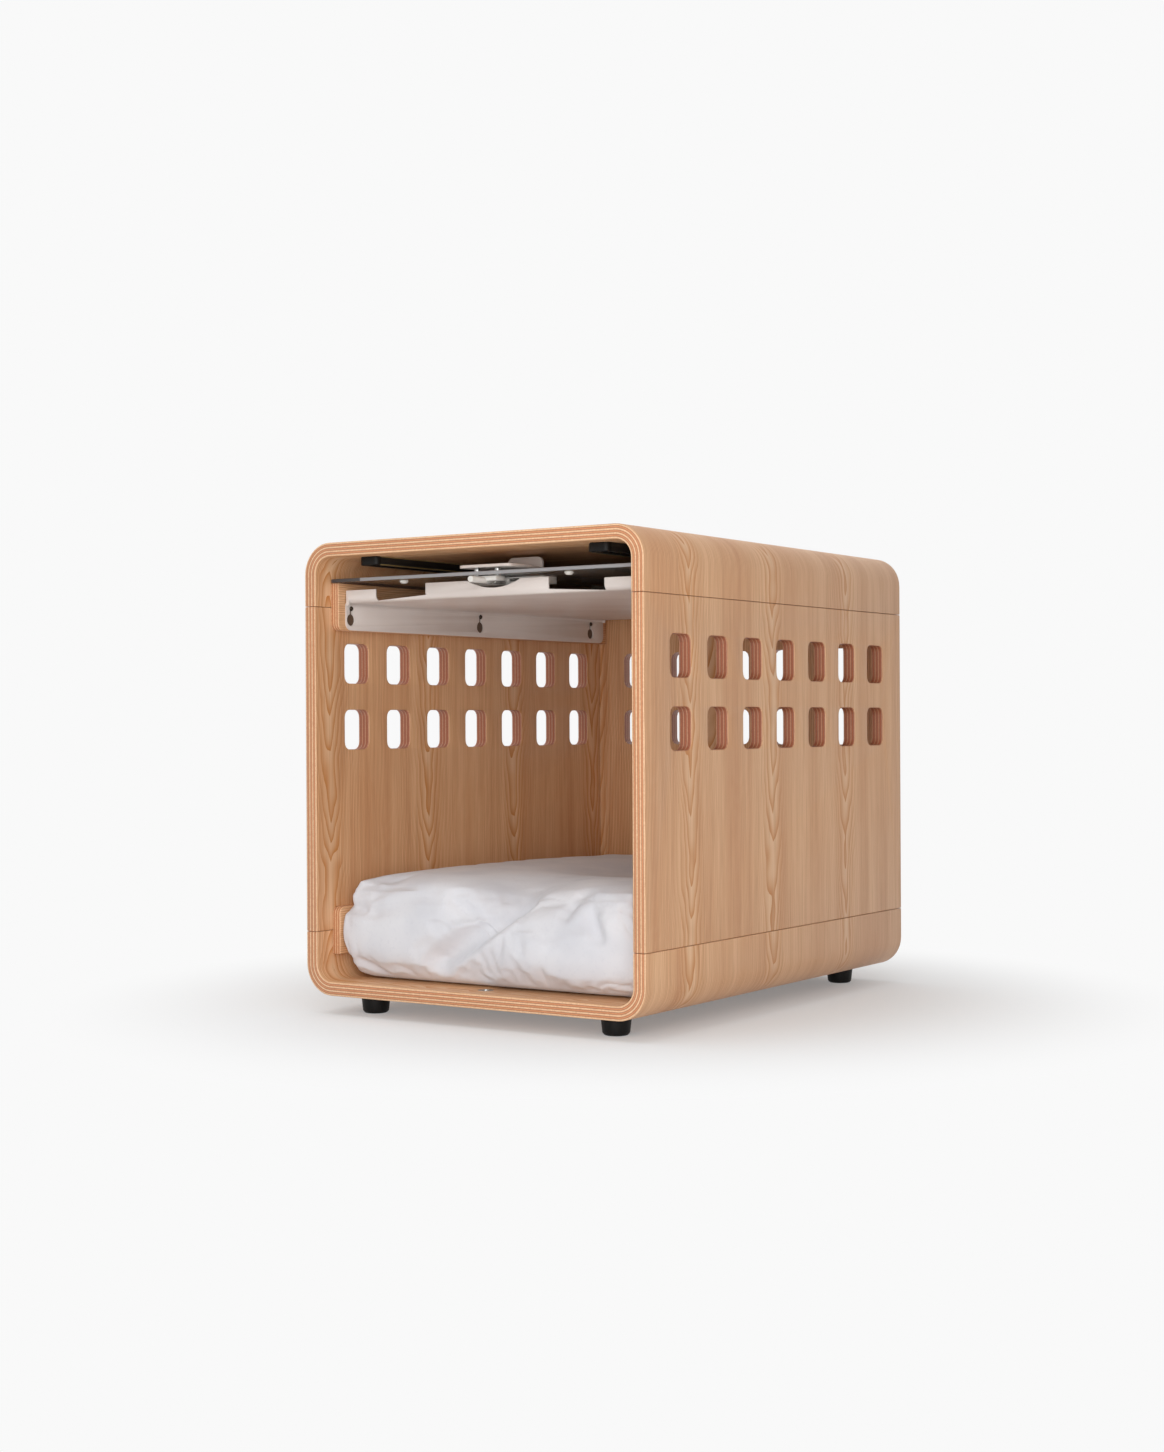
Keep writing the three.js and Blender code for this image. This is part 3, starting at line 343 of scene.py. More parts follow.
    # Nested flames: each growth ring comes to a narrow tip on the middle line and opens out
    # into straight lines, with the tips 55 mm apart.
    off_middle = add(tree, "ShaderNodeMath", {0: from_middle}, operation="ABSOLUTE")
    opening = add(tree, "ShaderNodeMath", {0: off_middle, 1: 0.36}, operation="MULTIPLY")
    widening = add(tree, "ShaderNodeMath", {0: off_middle, 1: 0.11}, operation="MULTIPLY")
    widening = add(
        tree, "ShaderNodeMath", {0: widening, 1: widening, 2: opening}, operation="MULTIPLY_ADD"
    )
    ring_place = add(
        tree, "ShaderNodeMath", {0: along, 1: 0.11, 2: widening}, operation="MULTIPLY_ADD"
    )
    uneven_place = add(
        tree, "ShaderNodeMapping", {"Vector": sheet_place, "Scale": (0.02, 0.009, 0.9)}
    )
    uneven = add(tree, "ShaderNodeTexNoise", {"Vector": uneven_place, "Scale": 1.0, "Detail": 2.0})
    ring_count = add(tree, "ShaderNodeMath", {0: ring_place, 1: 0.165}, operation="MULTIPLY")
    ring_count = add(
        tree, "ShaderNodeMath", {0: uneven, 1: 4.6, 2: ring_count}, operation="MULTIPLY_ADD"
    )
    ring_part = add(tree, "ShaderNodeMath", {0: ring_count}, operation="FRACT")
    late_wood = add(tree, "ShaderNodeMath", {0: ring_part, 1: 2.0}, operation="POWER")
    near_middle = add(
        tree,
        "ShaderNodeMapRange",
        {"Value": off_middle, "From Min": 9.0, "From Max": 30.0, "To Min": 1.0, "To Max": 0.3},
        interpolation_type="SMOOTHSTEP",
    )
    ring_tone = add(tree, "ShaderNodeMath", {0: late_wood, 1: near_middle}, operation="MULTIPLY")
    # Straight growth lines 2.6 mm apart, which come and go across the sheet.
    line_turn = add(tree, "ShaderNodeMath", {0: drifted, 1: 2.42}, operation="MULTIPLY")
    line_turn = add(
        tree, "ShaderNodeMath", {0: uneven, 1: 9.0, 2: line_turn}, operation="MULTIPLY_ADD"
    )
    lines = add(tree, "ShaderNodeMath", {0: line_turn}, operation="SINE")
    lines = add(tree, "ShaderNodeMapRange", {"Value": lines, "From Min": -0.2, "From Max": 1.0})
    beside_flame = add(
        tree,
        "ShaderNodeMapRange",
        {"Value": off_middle, "From Min": 8.0, "From Max": 20.0, "To Min": 0.15},
    )
    lines = add(tree, "ShaderNodeMath", {0: lines, 1: beside_flame}, operation="MULTIPLY")

    # Broad warm and pale stripes, then single fibres 0.9 mm wide, long against the grain.
    stripe_place = add(
        tree, "ShaderNodeMapping", {"Vector": sheet_place, "Scale": (0.045, 0.0016, 2.3)}
    )
    stripes = add(
        tree,
        "ShaderNodeTexNoise",
        {"Vector": stripe_place, "Scale": 1.0, "Detail": 3.0, "Roughness": 0.55},
    )
    fibre_place = add(
        tree, "ShaderNodeMapping", {"Vector": sheet_place, "Scale": (0.62, 0.0085, 3.1)}
    )
    fibres = add(
        tree,
        "ShaderNodeTexNoise",
        {"Vector": fibre_place, "Scale": 1.0, "Detail": 5.0, "Roughness": 0.62},
    )
    # The colours build up from pale wood, paler at the heart of each flame, by the rings, the
    # straight lines and the fibres.
    warmth = add(
        tree, "ShaderNodeMapRange", {"Value": stripes, "From Min": 0.32, "From Max": 0.68}
    )
    pale_wood = add(
        tree,
        "ShaderNodeMix",
        {0: warmth, 6: linear("#E7BC92"), 7: linear("#D8A67C")},
        data_type="RGBA",
    )
    heart = add(
        tree,
        "ShaderNodeMapRange",
        {"Value": off_middle, "From Min": 4.0, "From Max": 16.0, "To Min": 0.6, "To Max": 0.0},
    )
    pale_wood = add(
        tree,
        "ShaderNodeMix",
        {0: heart, 6: pale_wood.outputs[2], 7: linear("#E3BD97")},
        data_type="RGBA",
    )
    with_rings = add(
        tree,
        "ShaderNodeMix",
        {0: ring_tone, 6: pale_wood.outputs[2], 7: linear("#C07934")},
        data_type="RGBA",
    )
    line_share = add(
        tree,
        "ShaderNodeMapRange",
        {"Value": stripes, "From Min": 0.3, "From Max": 0.7, "To Min": 0.35, "To Max": 0.95},
    )
    line_tone = add(tree, "ShaderNodeMath", {0: lines, 1: line_share}, operation="MULTIPLY")
    with_lines = add(
        tree,
        "ShaderNodeMix",
        {0: line_tone, 6: with_rings.outputs[2], 7: linear("#AC7245")},
        data_type="RGBA",
    )
    fibre_tone = add(
        tree,
        "ShaderNodeMapRange",
        {"Value": fibres, "From Min": 0.48, "From Max": 0.74, "To Max": 0.62},
    )
    face_wood = add(
        tree,
        "ShaderNodeMix",
        {0: fibre_tone, 6: with_lines.outputs[2], 7: linear("#B07A50")},
        data_type="RGBA",
    )

    # Cut edge: seven plies with their fibres crossed, and thin dark glue lines between.
    ply_count = 7.0
    plies = add(tree, "ShaderNodeMath", {0: depth, 1: ply_count / thickness}, operation="MULTIPLY")
    ply_part = add(tree, "ShaderNodeMath", {0: plies}, operation="FRACT")
    glue = add(tree, "ShaderNodeMath", {0: ply_part, 1: 0.5}, operation="SUBTRACT")
    glue = add(tree, "ShaderNodeMath", {0: glue}, operation="ABSOLUTE")
    glue = add(
        tree,
        "ShaderNodeMapRange",
        {"Value": glue, "From Min": 0.3, "From Max": 0.47},
        interpolation_type="SMOOTHSTEP",
    )
    crossed = add(tree, "ShaderNodeMath", {0: plies, 1: 2.0}, operation="FLOORED_MODULO")
    crossed = add(tree, "ShaderNodeMath", {0: crossed, 1: 1.0}, operation="GREATER_THAN")
    end_grain = add(
        tree, "ShaderNodeTexNoise", {"Vector": in_mm, "Scale": 0.55, "Detail": 4.0, "Roughness": 0.7}
    )
    ply_wood = add(
        tree,
        "ShaderNodeMix",
        {0: crossed, 6: linear("#EBC49B"), 7: linear("#CE8D62")},
        data_type="RGBA",
    )
    end_tone = add(
        tree,
        "ShaderNodeMapRange",
        {"Value": end_grain, "From Min": 0.4, "From Max": 0.75, "To Max": 0.5},
    )
    ply_wood = add(
        tree,
        "ShaderNodeMix",
        {0: end_tone, 6: ply_wood.outputs[2], 7: linear("#A9683F")},
        data_type="RGBA",
    )
    glue_tone = add(tree, "ShaderNodeMath", {0: glue, 1: 0.85}, operation="MULTIPLY")
    edge_wood = add(
        tree,
        "ShaderNodeMix",
        {0: glue_tone, 6: ply_wood.outputs[2], 7: linear("#8A4B34")},
        data_type="RGBA",
    )
    # The slot walls are painted darker and pinker than the rims: painted shade for the shadow inside
    # the slots.
    if lay != "cleat":
        rows_z, rows_reach, slots_reach_y = 84.0, 80.0, 296.0
        in_slot = add(tree, "ShaderNodeMath", {0: z, 1: rows_z, 2: rows_reach}, operation="COMPARE")
        if lay == "bent":
            reach_y = add(
                tree, "ShaderNodeMath", {0: y, 1: 0.0, 2: slots_reach_y}, operation="COMPARE"
            )
            in_slot = add(tree, "ShaderNodeMath", {0: in_slot, 1: reach_y}, operation="MULTIPLY")
        painted_slot_shade = add(
            tree,
            "ShaderNodeMix",
            {0: 1.0, 6: edge_wood.outputs[2], 7: linear("#CDB0AC")},
            data_type="RGBA",
            blend_type="MULTIPLY",
        )
        edge_wood = add(
            tree,
            "ShaderNodeMix",
            {0: in_slot, 6: edge_wood.outputs[2], 7: painted_slot_shade.outputs[2]},
            data_type="RGBA",
        )
    # The plies show where the surface lies inside the sheet, under 0.45 to 0.75 mm of veneer.
    from_face = add(tree, "ShaderNodeMath", {0: depth, 1: thickness / 2}, operation="SUBTRACT")
    from_face = add(tree, "ShaderNodeMath", {0: from_face}, operation="ABSOLUTE")
    is_face = add(
        tree,
        "ShaderNodeMapRange",
        {"Value": from_face, "From Min": thickness / 2 - 0.75, "From Max": thickness / 2 - 0.45},
    )
    wood = add(
        tree,
        "ShaderNodeMix",
        {0: is_face, 6: edge_wood.outputs[2], 7: face_wood.outputs[2]},
        data_type="RGBA",
    )
    if lay == "cleat":
        # Behind each keyhole of the tray the cleat is painted dark: painted shade for the shadowed
        # recess seen through the hole.
        screw_pitch, middle_screw_y, keyhole_z = 254.5, -8.5, 173.8
        to_screw = screw_pitch / 2 - middle_screw_y
        from_screw = add(tree, "ShaderNodeMath", {0: y, 1: to_screw}, operation="ADD")
        from_screw = add(
            tree, "ShaderNodeMath", {0: from_screw, 1: screw_pitch}, operation="FLOORED_MODULO"
        )
        from_screw = add(
            tree, "ShaderNodeMath", {0: from_screw, 1: screw_pitch / 2}, operation="SUBTRACT"
        )
        below = add(tree, "ShaderNodeMath", {0: z, 1: keyhole_z}, operation="SUBTRACT")
        below = add(tree, "ShaderNodeMath", {0: below, 1: 0.0}, operation="MINIMUM")
        hole_place = add(tree, "ShaderNodeCombineXYZ", {0: from_screw, 1: below})
        hole_reach = add(tree, "ShaderNodeVectorMath", {0: hole_place}, operation="LENGTH")
        painted_keyhole_shade = add(
            tree,
            "ShaderNodeMapRange",
            {"Value": hole_reach.outputs["Value"], "From Min": 9.0, "From Max": 7.5},
        )
        # Higher up, by the tray's bend, the cleat stays pale.
        low_enough = add(tree, "ShaderNodeMath", {0: z, 1: 190.0}, operation="LESS_THAN")
        painted_keyhole_shade = add(tree, "ShaderNodeMath", {0: painted_keyhole_shade, 1: low_enough}, operation="MULTIPLY")
        wood = add(
            tree,
            "ShaderNodeMix",
            {0: painted_keyhole_shade, 6: wood.outputs[2], 7: linear("#54402F")},
            data_type="RGBA",
        )
    # The lacquer leaves the open pores and the late wood slightly proud.
    relief = add(tree, "ShaderNodeMath", {0: fibres, 1: 0.5, 2: ring_tone}, operation="MULTIPLY_ADD")
    bump = add(tree, "ShaderNodeBump", {"Height": relief, "Strength": 0.18, "Distance": 0.0003})
    dull = add(tree, "ShaderNodeMapRange", {"Value": fibres, "To Min": 0.38, "To Max": 0.56})
    surface = add(
        tree,
        "ShaderNodeBsdfPrincipled",
        {"Base Color": wood.outputs[2], "Roughness": dull, "IOR": 1.5, "Normal": bump},
    )
    surface.inputs["Coat Weight"].default_value = 0.12
    surface.inputs["Coat Roughness"].default_value = 0.32
    add(tree, "ShaderNodeOutputMaterial", {"Surface": surface})
    return material


def dress(name, material):
    """Gives a CAD node its Blender material in place of the plain one."""
    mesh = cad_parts[name].data
    if mesh.materials:
        for slot in range(len(mesh.materials)):
            mesh.materials[slot] = material
    else:
        mesh.materials.append(material)


bent_ply = veneered_plywood("lacquered_bent_plywood", "bent")
for name in ("top_shell", "bottom_shell", "left_side_panel", "right_side_panel"):
    dress(name, bent_ply)
    crisp_edges(name, 0.0007)


# ---- Back panel and its screws ----------------------------------------------------------
# A flat sheet of the same plywood, let into the rear opening, with the grain upright. Four
# blackened countersunk screws hold it to the sides.

dress("back_panel", veneered_plywood("lacquered_back_plywood", "back"))
crisp_edges("back_panel", 0.0007)


def blackened_steel():
    """Heat-blackened screw steel: dark brown-black oxide in lighter and darker patches."""
    material = blank_material("blackened_screw_steel")
    tree = material.node_tree
    place = add(tree, "ShaderNodeTexCoord")
    # Oxide patches about 1.5 mm across.
    patches = add(
        tree, "ShaderNodeTexNoise", {"Vector": place.outputs["Object"], "Scale": 650.0, "Detail": 3.0}
    )
    worn = add(tree, "ShaderNodeMapRange", {"Value": patches, "From Min": 0.35, "From Max": 0.7})
    colour = add(
        tree,
        "ShaderNodeMix",
        {0: worn, 6: linear("#2E2721"), 7: linear("#574A3E")},
        data_type="RGBA",
    )
    rough = add(tree, "ShaderNodeMapRange", {"Value": patches, "To Min": 0.3, "To Max": 0.55})
    bump = add(tree, "ShaderNodeBump", {"Height": patches, "Strength": 0.12, "Distance": 0.0002})
    surface = add(
        tree,
        "ShaderNodeBsdfPrincipled",
        {"Base Color": colour.outputs[2], "Roughness": rough, "Metallic": 0.85, "Normal": bump},
    )
    add(tree, "ShaderNodeOutputMaterial", {"Surface": surface})
    return material


screw_steel = blackened_steel()
for name in sorted(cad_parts):
    if "screw" in name:
        dress(name, screw_steel)
        crisp_edges(name, 0.00015)


# ---- Cleats -----------------------------------------------------------------------------
# Four strips of thinner plywood, glued inside across the seams to hold shell to side.

cleat_ply = veneered_plywood("lacquered_cleat_plywood", "cleat")
for name in ("upper_left_cleat", "upper_right_cleat", "lower_left_cleat", "lower_right_cleat"):
    dress(name, cleat_ply)
    crisp_edges(name, 0.0007)


# ---- Gate tray --------------------------------------------------------------------------
# A folded sheet steel tray under the top, which the gate lies on when it is stowed. It is
# punched, folded and powder coated satin white, and hangs on screws in its keyholes.


def white_powder_coat():
    """Baked polyester powder: satin, with an orange-peel ripple about 2 mm from crest to crest."""
    material = blank_material("white_powder_coat")
    tree = material.node_tree
    place = add(tree, "ShaderNodeTexCoord")
    peel = add(
        tree, "ShaderNodeTexNoise", {"Vector": place.outputs["Object"], "Scale": 520.0, "Detail": 2.0}
    )
    film = add(
        tree, "ShaderNodeTexNoise", {"Vector": place.outputs["Object"], "Scale": 9.0, "Detail": 3.0}
    )
    tone = add(tree, "ShaderNodeMapRange", {"Value": film, "From Min": 0.35, "From Max": 0.65})
    colour = add(
        tree,
        "ShaderNodeMix",
        {0: tone, 6: linear("#E0D7D1"), 7: linear("#D6CBC4")},
        data_type="RGBA",
    )
    rough = add(tree, "ShaderNodeMapRange", {"Value": film, "To Min": 0.34, "To Max": 0.5})
    bump = add(tree, "ShaderNodeBump", {"Height": peel, "Strength": 0.1, "Distance": 0.0003})
    surface = add(
        tree,
        "ShaderNodeBsdfPrincipled",
        {"Base Color": colour.outputs[2], "Roughness": rough, "IOR": 1.5, "Normal": bump},
    )
    add(tree, "ShaderNodeOutputMaterial", {"Surface": surface})
    return material


powder_coat = white_powder_coat()
for name in ("gate_tray", "latch_pull"):
    dress(name, powder_coat)
    crisp_edges(name, 0.0003)


# ---- Slides -----------------------------------------------------------------------------
# A pair of drawer slides under the top: roll-formed black steel channels with moulded black
# end caps, and a short nylon carriage in each that carries the gate.


def black_coated_steel():
    """Cold-rolled steel in thin black dip coat: semi-gloss, with faint draw lines down the rail."""
    material = blank_material("black_coated_steel")
    tree = material.node_tree
    place = add(tree, "ShaderNodeTexCoord")
    # Draw lines 0.8 mm apart, run out to 120 mm long.
    stretched = add(
        tree, "ShaderNodeMapping", {"Vector": place.outputs["Object"], "Scale": (1250.0, 8.0, 1250.0)}
    )
    lines = add(tree, "ShaderNodeTexNoise", {"Vector": stretched, "Scale": 1.0, "Detail": 3.0})
    colour = add(
        tree,
        "ShaderNodeMix",
        {0: lines, 6: linear("#1B1A19"), 7: linear("#302E2B")},
        data_type="RGBA",
    )
    # A warm bright line is painted along the inboard rolled edges, 1.2 mm wide: a painted highlight for
    # the reflection of the wood in the rounded edges.
    rail_middle_z, inboard_edge_x = 0.523, 0.1458
    split = add(tree, "ShaderNodeSeparateXYZ", {0: place.outputs["Object"]})
    painted_edge_highlight = add(
        tree, "ShaderNodeMath", {0: split.outputs[2], 1: rail_middle_z}, operation="SUBTRACT"
    )
    painted_edge_highlight = add(tree, "ShaderNodeMath", {0: painted_edge_highlight}, operation="ABSOLUTE")
    painted_edge_highlight = add(tree, "ShaderNodeMapRange", {"Value": painted_edge_highlight, "From Min": 0.0036, "From Max": 0.0044})
    inboard = add(tree, "ShaderNodeMath", {0: split.outputs[0]}, operation="ABSOLUTE")
    inboard = add(tree, "ShaderNodeMath", {0: inboard, 1: inboard_edge_x}, operation="LESS_THAN")
    painted_edge_highlight = add(tree, "ShaderNodeMath", {0: painted_edge_highlight, 1: inboard}, operation="MULTIPLY")
    colour = add(
        tree, "ShaderNodeMix", {0: painted_edge_highlight, 6: colour.outputs[2], 7: linear("#A08A5C")}, data_type="RGBA"
    )
    rough = add(tree, "ShaderNodeMapRange", {"Value": lines, "To Min": 0.24, "To Max": 0.42})
    bump = add(tree, "ShaderNodeBump", {"Height": lines, "Strength": 0.08, "Distance": 0.0002})
    surface = add(
        tree,
        "ShaderNodeBsdfPrincipled",
        {"Base Color": colour.outputs[2], "Roughness": rough, "Normal": bump},
    )
    surface.inputs["Metallic"].default_value = 0.35
    add(tree, "ShaderNodeOutputMaterial", {"Surface": surface})
    return material


def moulded_black_abs():
    """Injection-moulded black ABS with a fine spark-eroded grain, 0.5 mm from pit to pit."""
    material = blank_material("moulded_black_abs")
    tree = material.node_tree
    place = add(tree, "ShaderNodeTexCoord")
    grain = add(
        tree, "ShaderNodeTexVoronoi", {"Vector": place.outputs["Object"], "Scale": 1900.0}
    )
    haze = add(
        tree, "ShaderNodeTexNoise", {"Vector": place.outputs["Object"], "Scale": 60.0, "Detail": 3.0}
    )
    colour = add(
        tree, "ShaderNodeMix", {0: haze, 6: linear("#0B0A09"), 7: linear("#161412")}, data_type="RGBA"
    )
    rough = add(tree, "ShaderNodeMapRange", {"Value": haze, "To Min": 0.36, "To Max": 0.58})
    bump = add(
        tree,
        "ShaderNodeBump",
        {"Height": grain.outputs["Distance"], "Strength": 0.2, "Distance": 0.0002},
    )
    surface = add(
        tree,
        "ShaderNodeBsdfPrincipled",
        {"Base Color": colour.outputs[2], "Roughness": rough, "IOR": 1.53, "Normal": bump},
    )
    surface.inputs["Specular IOR Level"].default_value = 0.18
    add(tree, "ShaderNodeOutputMaterial", {"Surface": surface})
    return material


rail_steel = black_coated_steel()
black_abs = moulded_black_abs()
for side in ("left", "right"):
    dress(f"slide_rail_{side}", rail_steel)
    crisp_edges(f"slide_rail_{side}", 0.0003)
    for name in (f"slide_nose_{side}", f"slide_tail_{side}"):
        dress(name, black_abs)
        crisp_edges(name, 0.0005)


def natural_nylon(name, pale, dark):
    """Moulded nylon: slightly waxy and see-through, with soft flow marks about 12 mm long."""
    material = blank_material(name)
    tree = material.node_tree
    place = add(tree, "ShaderNodeTexCoord")
    flow = add(
        tree, "ShaderNodeTexNoise", {"Vector": place.outputs["Object"], "Scale": 85.0, "Detail": 4.0}
    )
    colour = add(tree, "ShaderNodeMix", {0: flow, 6: linear(pale), 7: linear(dark)}, data_type="RGBA")
    rough = add(tree, "ShaderNodeMapRange", {"Value": flow, "To Min": 0.34, "To Max": 0.52})
    bump = add(tree, "ShaderNodeBump", {"Height": flow, "Strength": 0.06, "Distance": 0.0004})
    surface = add(
        tree,
        "ShaderNodeBsdfPrincipled",
        {"Base Color": colour.outputs[2], "Roughness": rough, "IOR": 1.53, "Normal": bump},
    )
    surface.inputs["Subsurface Weight"].default_value = 0.12
    surface.inputs["Subsurface Radius"].default_value = (0.002, 0.002, 0.0016)
    add(tree, "ShaderNodeOutputMaterial", {"Surface": surface})
    return material


white_nylon = natural_nylon("natural_nylon", "#E4E1DC", "#D3CFC8")
for name in ("slide_carriage_left", "slide_carriage_right", "latch_housing", "latch_bolt"):
    dress(name, white_nylon)
    crisp_edges(name, 0.0004)


# ---- Hinges, posts, bolt and spring -----------------------------------------------------
# Small turned and stamped steel parts, zinc plated and passivated, which carry the gate on
# its slides and make up its latch.


def zinc_plated_steel():
    """Bright zinc over rolled steel: silvery, with a cloudy bloom 3 mm across and fine polish lines."""
    material = blank_material("zinc_plated_steel")
    tree = material.node_tree
    place = add(tree, "ShaderNodeTexCoord")
    bloom = add(
        tree, "ShaderNodeTexNoise", {"Vector": place.outputs["Object"], "Scale": 330.0, "Detail": 4.0}
    )
    colour = add(
        tree, "ShaderNodeMix", {0: bloom, 6: linear("#C9C9C6"), 7: linear("#9C9D9C")}, data_type="RGBA"
    )
    rough = add(tree, "ShaderNodeMapRange", {"Value": bloom, "To Min": 0.2, "To Max": 0.42})
    bump = add(tree, "ShaderNodeBump", {"Height": bloom, "Strength": 0.06, "Distance": 0.0002})
    surface = add(
        tree,
        "ShaderNodeBsdfPrincipled",
        {"Base Color": colour.outputs[2], "Roughness": rough, "Normal": bump},
    )
    surface.inputs["Metallic"].default_value = 1.0
    add(tree, "ShaderNodeOutputMaterial", {"Surface": surface})
    return material


zinc = zinc_plated_steel()
steel_parts = ["latch_spring", "strike_bush"]
for side in ("left", "right"):
    for part in ("hinge_bracket", "gate_leaf", "hinge_pin", "latch_post"):
        steel_parts.append(f"{part}_{side}")
    for count in (1, 2):
        steel_parts.append(f"gate_bolt_{side}_{count}")
for name in steel_parts:
    dress(name, zinc)
    if name != "latch_spring":
        crisp_edges(name, 0.0002)

# The spring shortens as the bolt is drawn back. A copy of its coil with a mesh of its own, fixed to the
# gate, stands in for it.
coil_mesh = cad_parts["latch_spring"].data.copy()
coil_mesh.name = "coil_spring"
coil_spring = bpy.data.objects.new("coil_spring", coil_mesh)
scene.collection.objects.link(coil_spring)
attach(coil_spring, "gate")
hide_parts("latch_spring")
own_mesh(coil_spring)


# ---- Gate -------------------------------------------------------------------------------
# A sheet of clear cast acrylic, laser cut and flame polished at the rim, stowed flat over
# the tray. A dark guide bar and soft clear bumpers are fixed to it.


def cast_acrylic():
    """Clear cast acrylic: glassy faces with a slight grey cast and fine handling haze in places."""
    material = blank_material("clear_cast_acrylic")
    tree = material.node_tree
    place = add(tree, "ShaderNodeTexCoord")
    haze = add(
        tree, "ShaderNodeTexNoise", {"Vector": place.outputs["Object"], "Scale": 22.0, "Detail": 6.0}
    )
    rough = add(
        tree,
        "ShaderNodeMapRange",
        {"Value": haze, "From Min": 0.45, "From Max": 0.8, "To Min": 0.01, "To Max": 0.09},
    )
    colour = add(
        tree, "ShaderNodeMix", {0: haze, 6: linear("#EDF3F5"), 7: linear("#DCE3E6")}, data_type="RGBA"
    )
    surface = add(
        tree, "ShaderNodeBsdfPrincipled", {"Base Color": colour.outputs[2], "Roughness": rough}
    )
    surface.inputs["IOR"].default_value = 1.49
    surface.inputs["Transmission Weight"].default_value = 0.86
    surface.inputs["Alpha"].default_value = 0.4
    # The laser leaves the 4 mm rim frosted: a band inside 0.6 mm of the sheet's outline. Over the last
    # 46 mm at the left the rim is painted smoke grey: painted shade for the dark the left edge
    # reflects.
    half_width, half_length, middle_y = 0.2125, 0.2285, -0.0615
    rim_width, painted_dark_rim_x = 0.0006, -0.166
    split = add(tree, "ShaderNodeSeparateXYZ", {0: place.outputs["Object"]})
    side_reach = add(tree, "ShaderNodeMath", {0: split.outputs[0]}, operation="ABSOLUTE")
    side_reach = add(tree, "ShaderNodeMath", {0: side_reach, 1: half_width}, operation="SUBTRACT")
    long_reach = add(tree, "ShaderNodeMath", {0: split.outputs[1], 1: -middle_y}, operation="ADD")
    long_reach = add(tree, "ShaderNodeMath", {0: long_reach}, operation="ABSOLUTE")
    long_reach = add(tree, "ShaderNodeMath", {0: long_reach, 1: half_length}, operation="SUBTRACT")
    rim = add(tree, "ShaderNodeMath", {0: side_reach, 1: long_reach}, operation="MAXIMUM")
    rim = add(tree, "ShaderNodeMath", {0: rim, 1: -rim_width}, operation="GREATER_THAN")
    painted_dark_rim = add(tree, "ShaderNodeMath", {0: split.outputs[0], 1: painted_dark_rim_x}, operation="LESS_THAN")
    rim_colour = add(
        tree, "ShaderNodeMix", {0: painted_dark_rim, 6: linear("#A5A3A4"), 7: linear("#4A4747")}, data_type="RGBA"
    )
    frosted = add(
        tree,
        "ShaderNodeBsdfPrincipled",
        {
            "Base Color": rim_colour.outputs[2],
            "Roughness": 0.5,
            "IOR": 1.49,
            "Transmission Weight": 0.25,
        },
    )
    whole = add(tree, "ShaderNodeMixShader", {0: rim, 1: surface, 2: frosted})
    add(tree, "ShaderNodeOutputMaterial", {"Surface": whole})
    return material


dress("gate_panel", cast_acrylic())
crisp_edges("gate_panel", 0.0003)

dress("latch_guide_bar", natural_nylon("dark_grey_nylon", "#4E515C", "#3D404B"))
crisp_edges("latch_guide_bar", 0.0005)

clear_rubber = natural_nylon("soft_clear_rubber", "#D9D6CF", "#CBC8C1")
for name in ("gate_bumper_left", "gate_bumper_right"):
    dress(name, clear_rubber)
    crisp_edges(name, 0.0006)


# ---- Feet -------------------------------------------------------------------------------
# Four tapered feet moulded in black ABS, each held by a screw up through its middle.

for name in ("foot_front_left", "foot_front_right", "foot_rear_left", "foot_rear_right"):
    dress(name, black_abs)
    crisp_edges(name, 0.0008)


# ---- Floor cushion ----------------------------------------------------------------------
# A slack cushion in pale grey cotton, cut and sewn as a box and filled with loose fibre. It
# fills the floor from wall to wall.


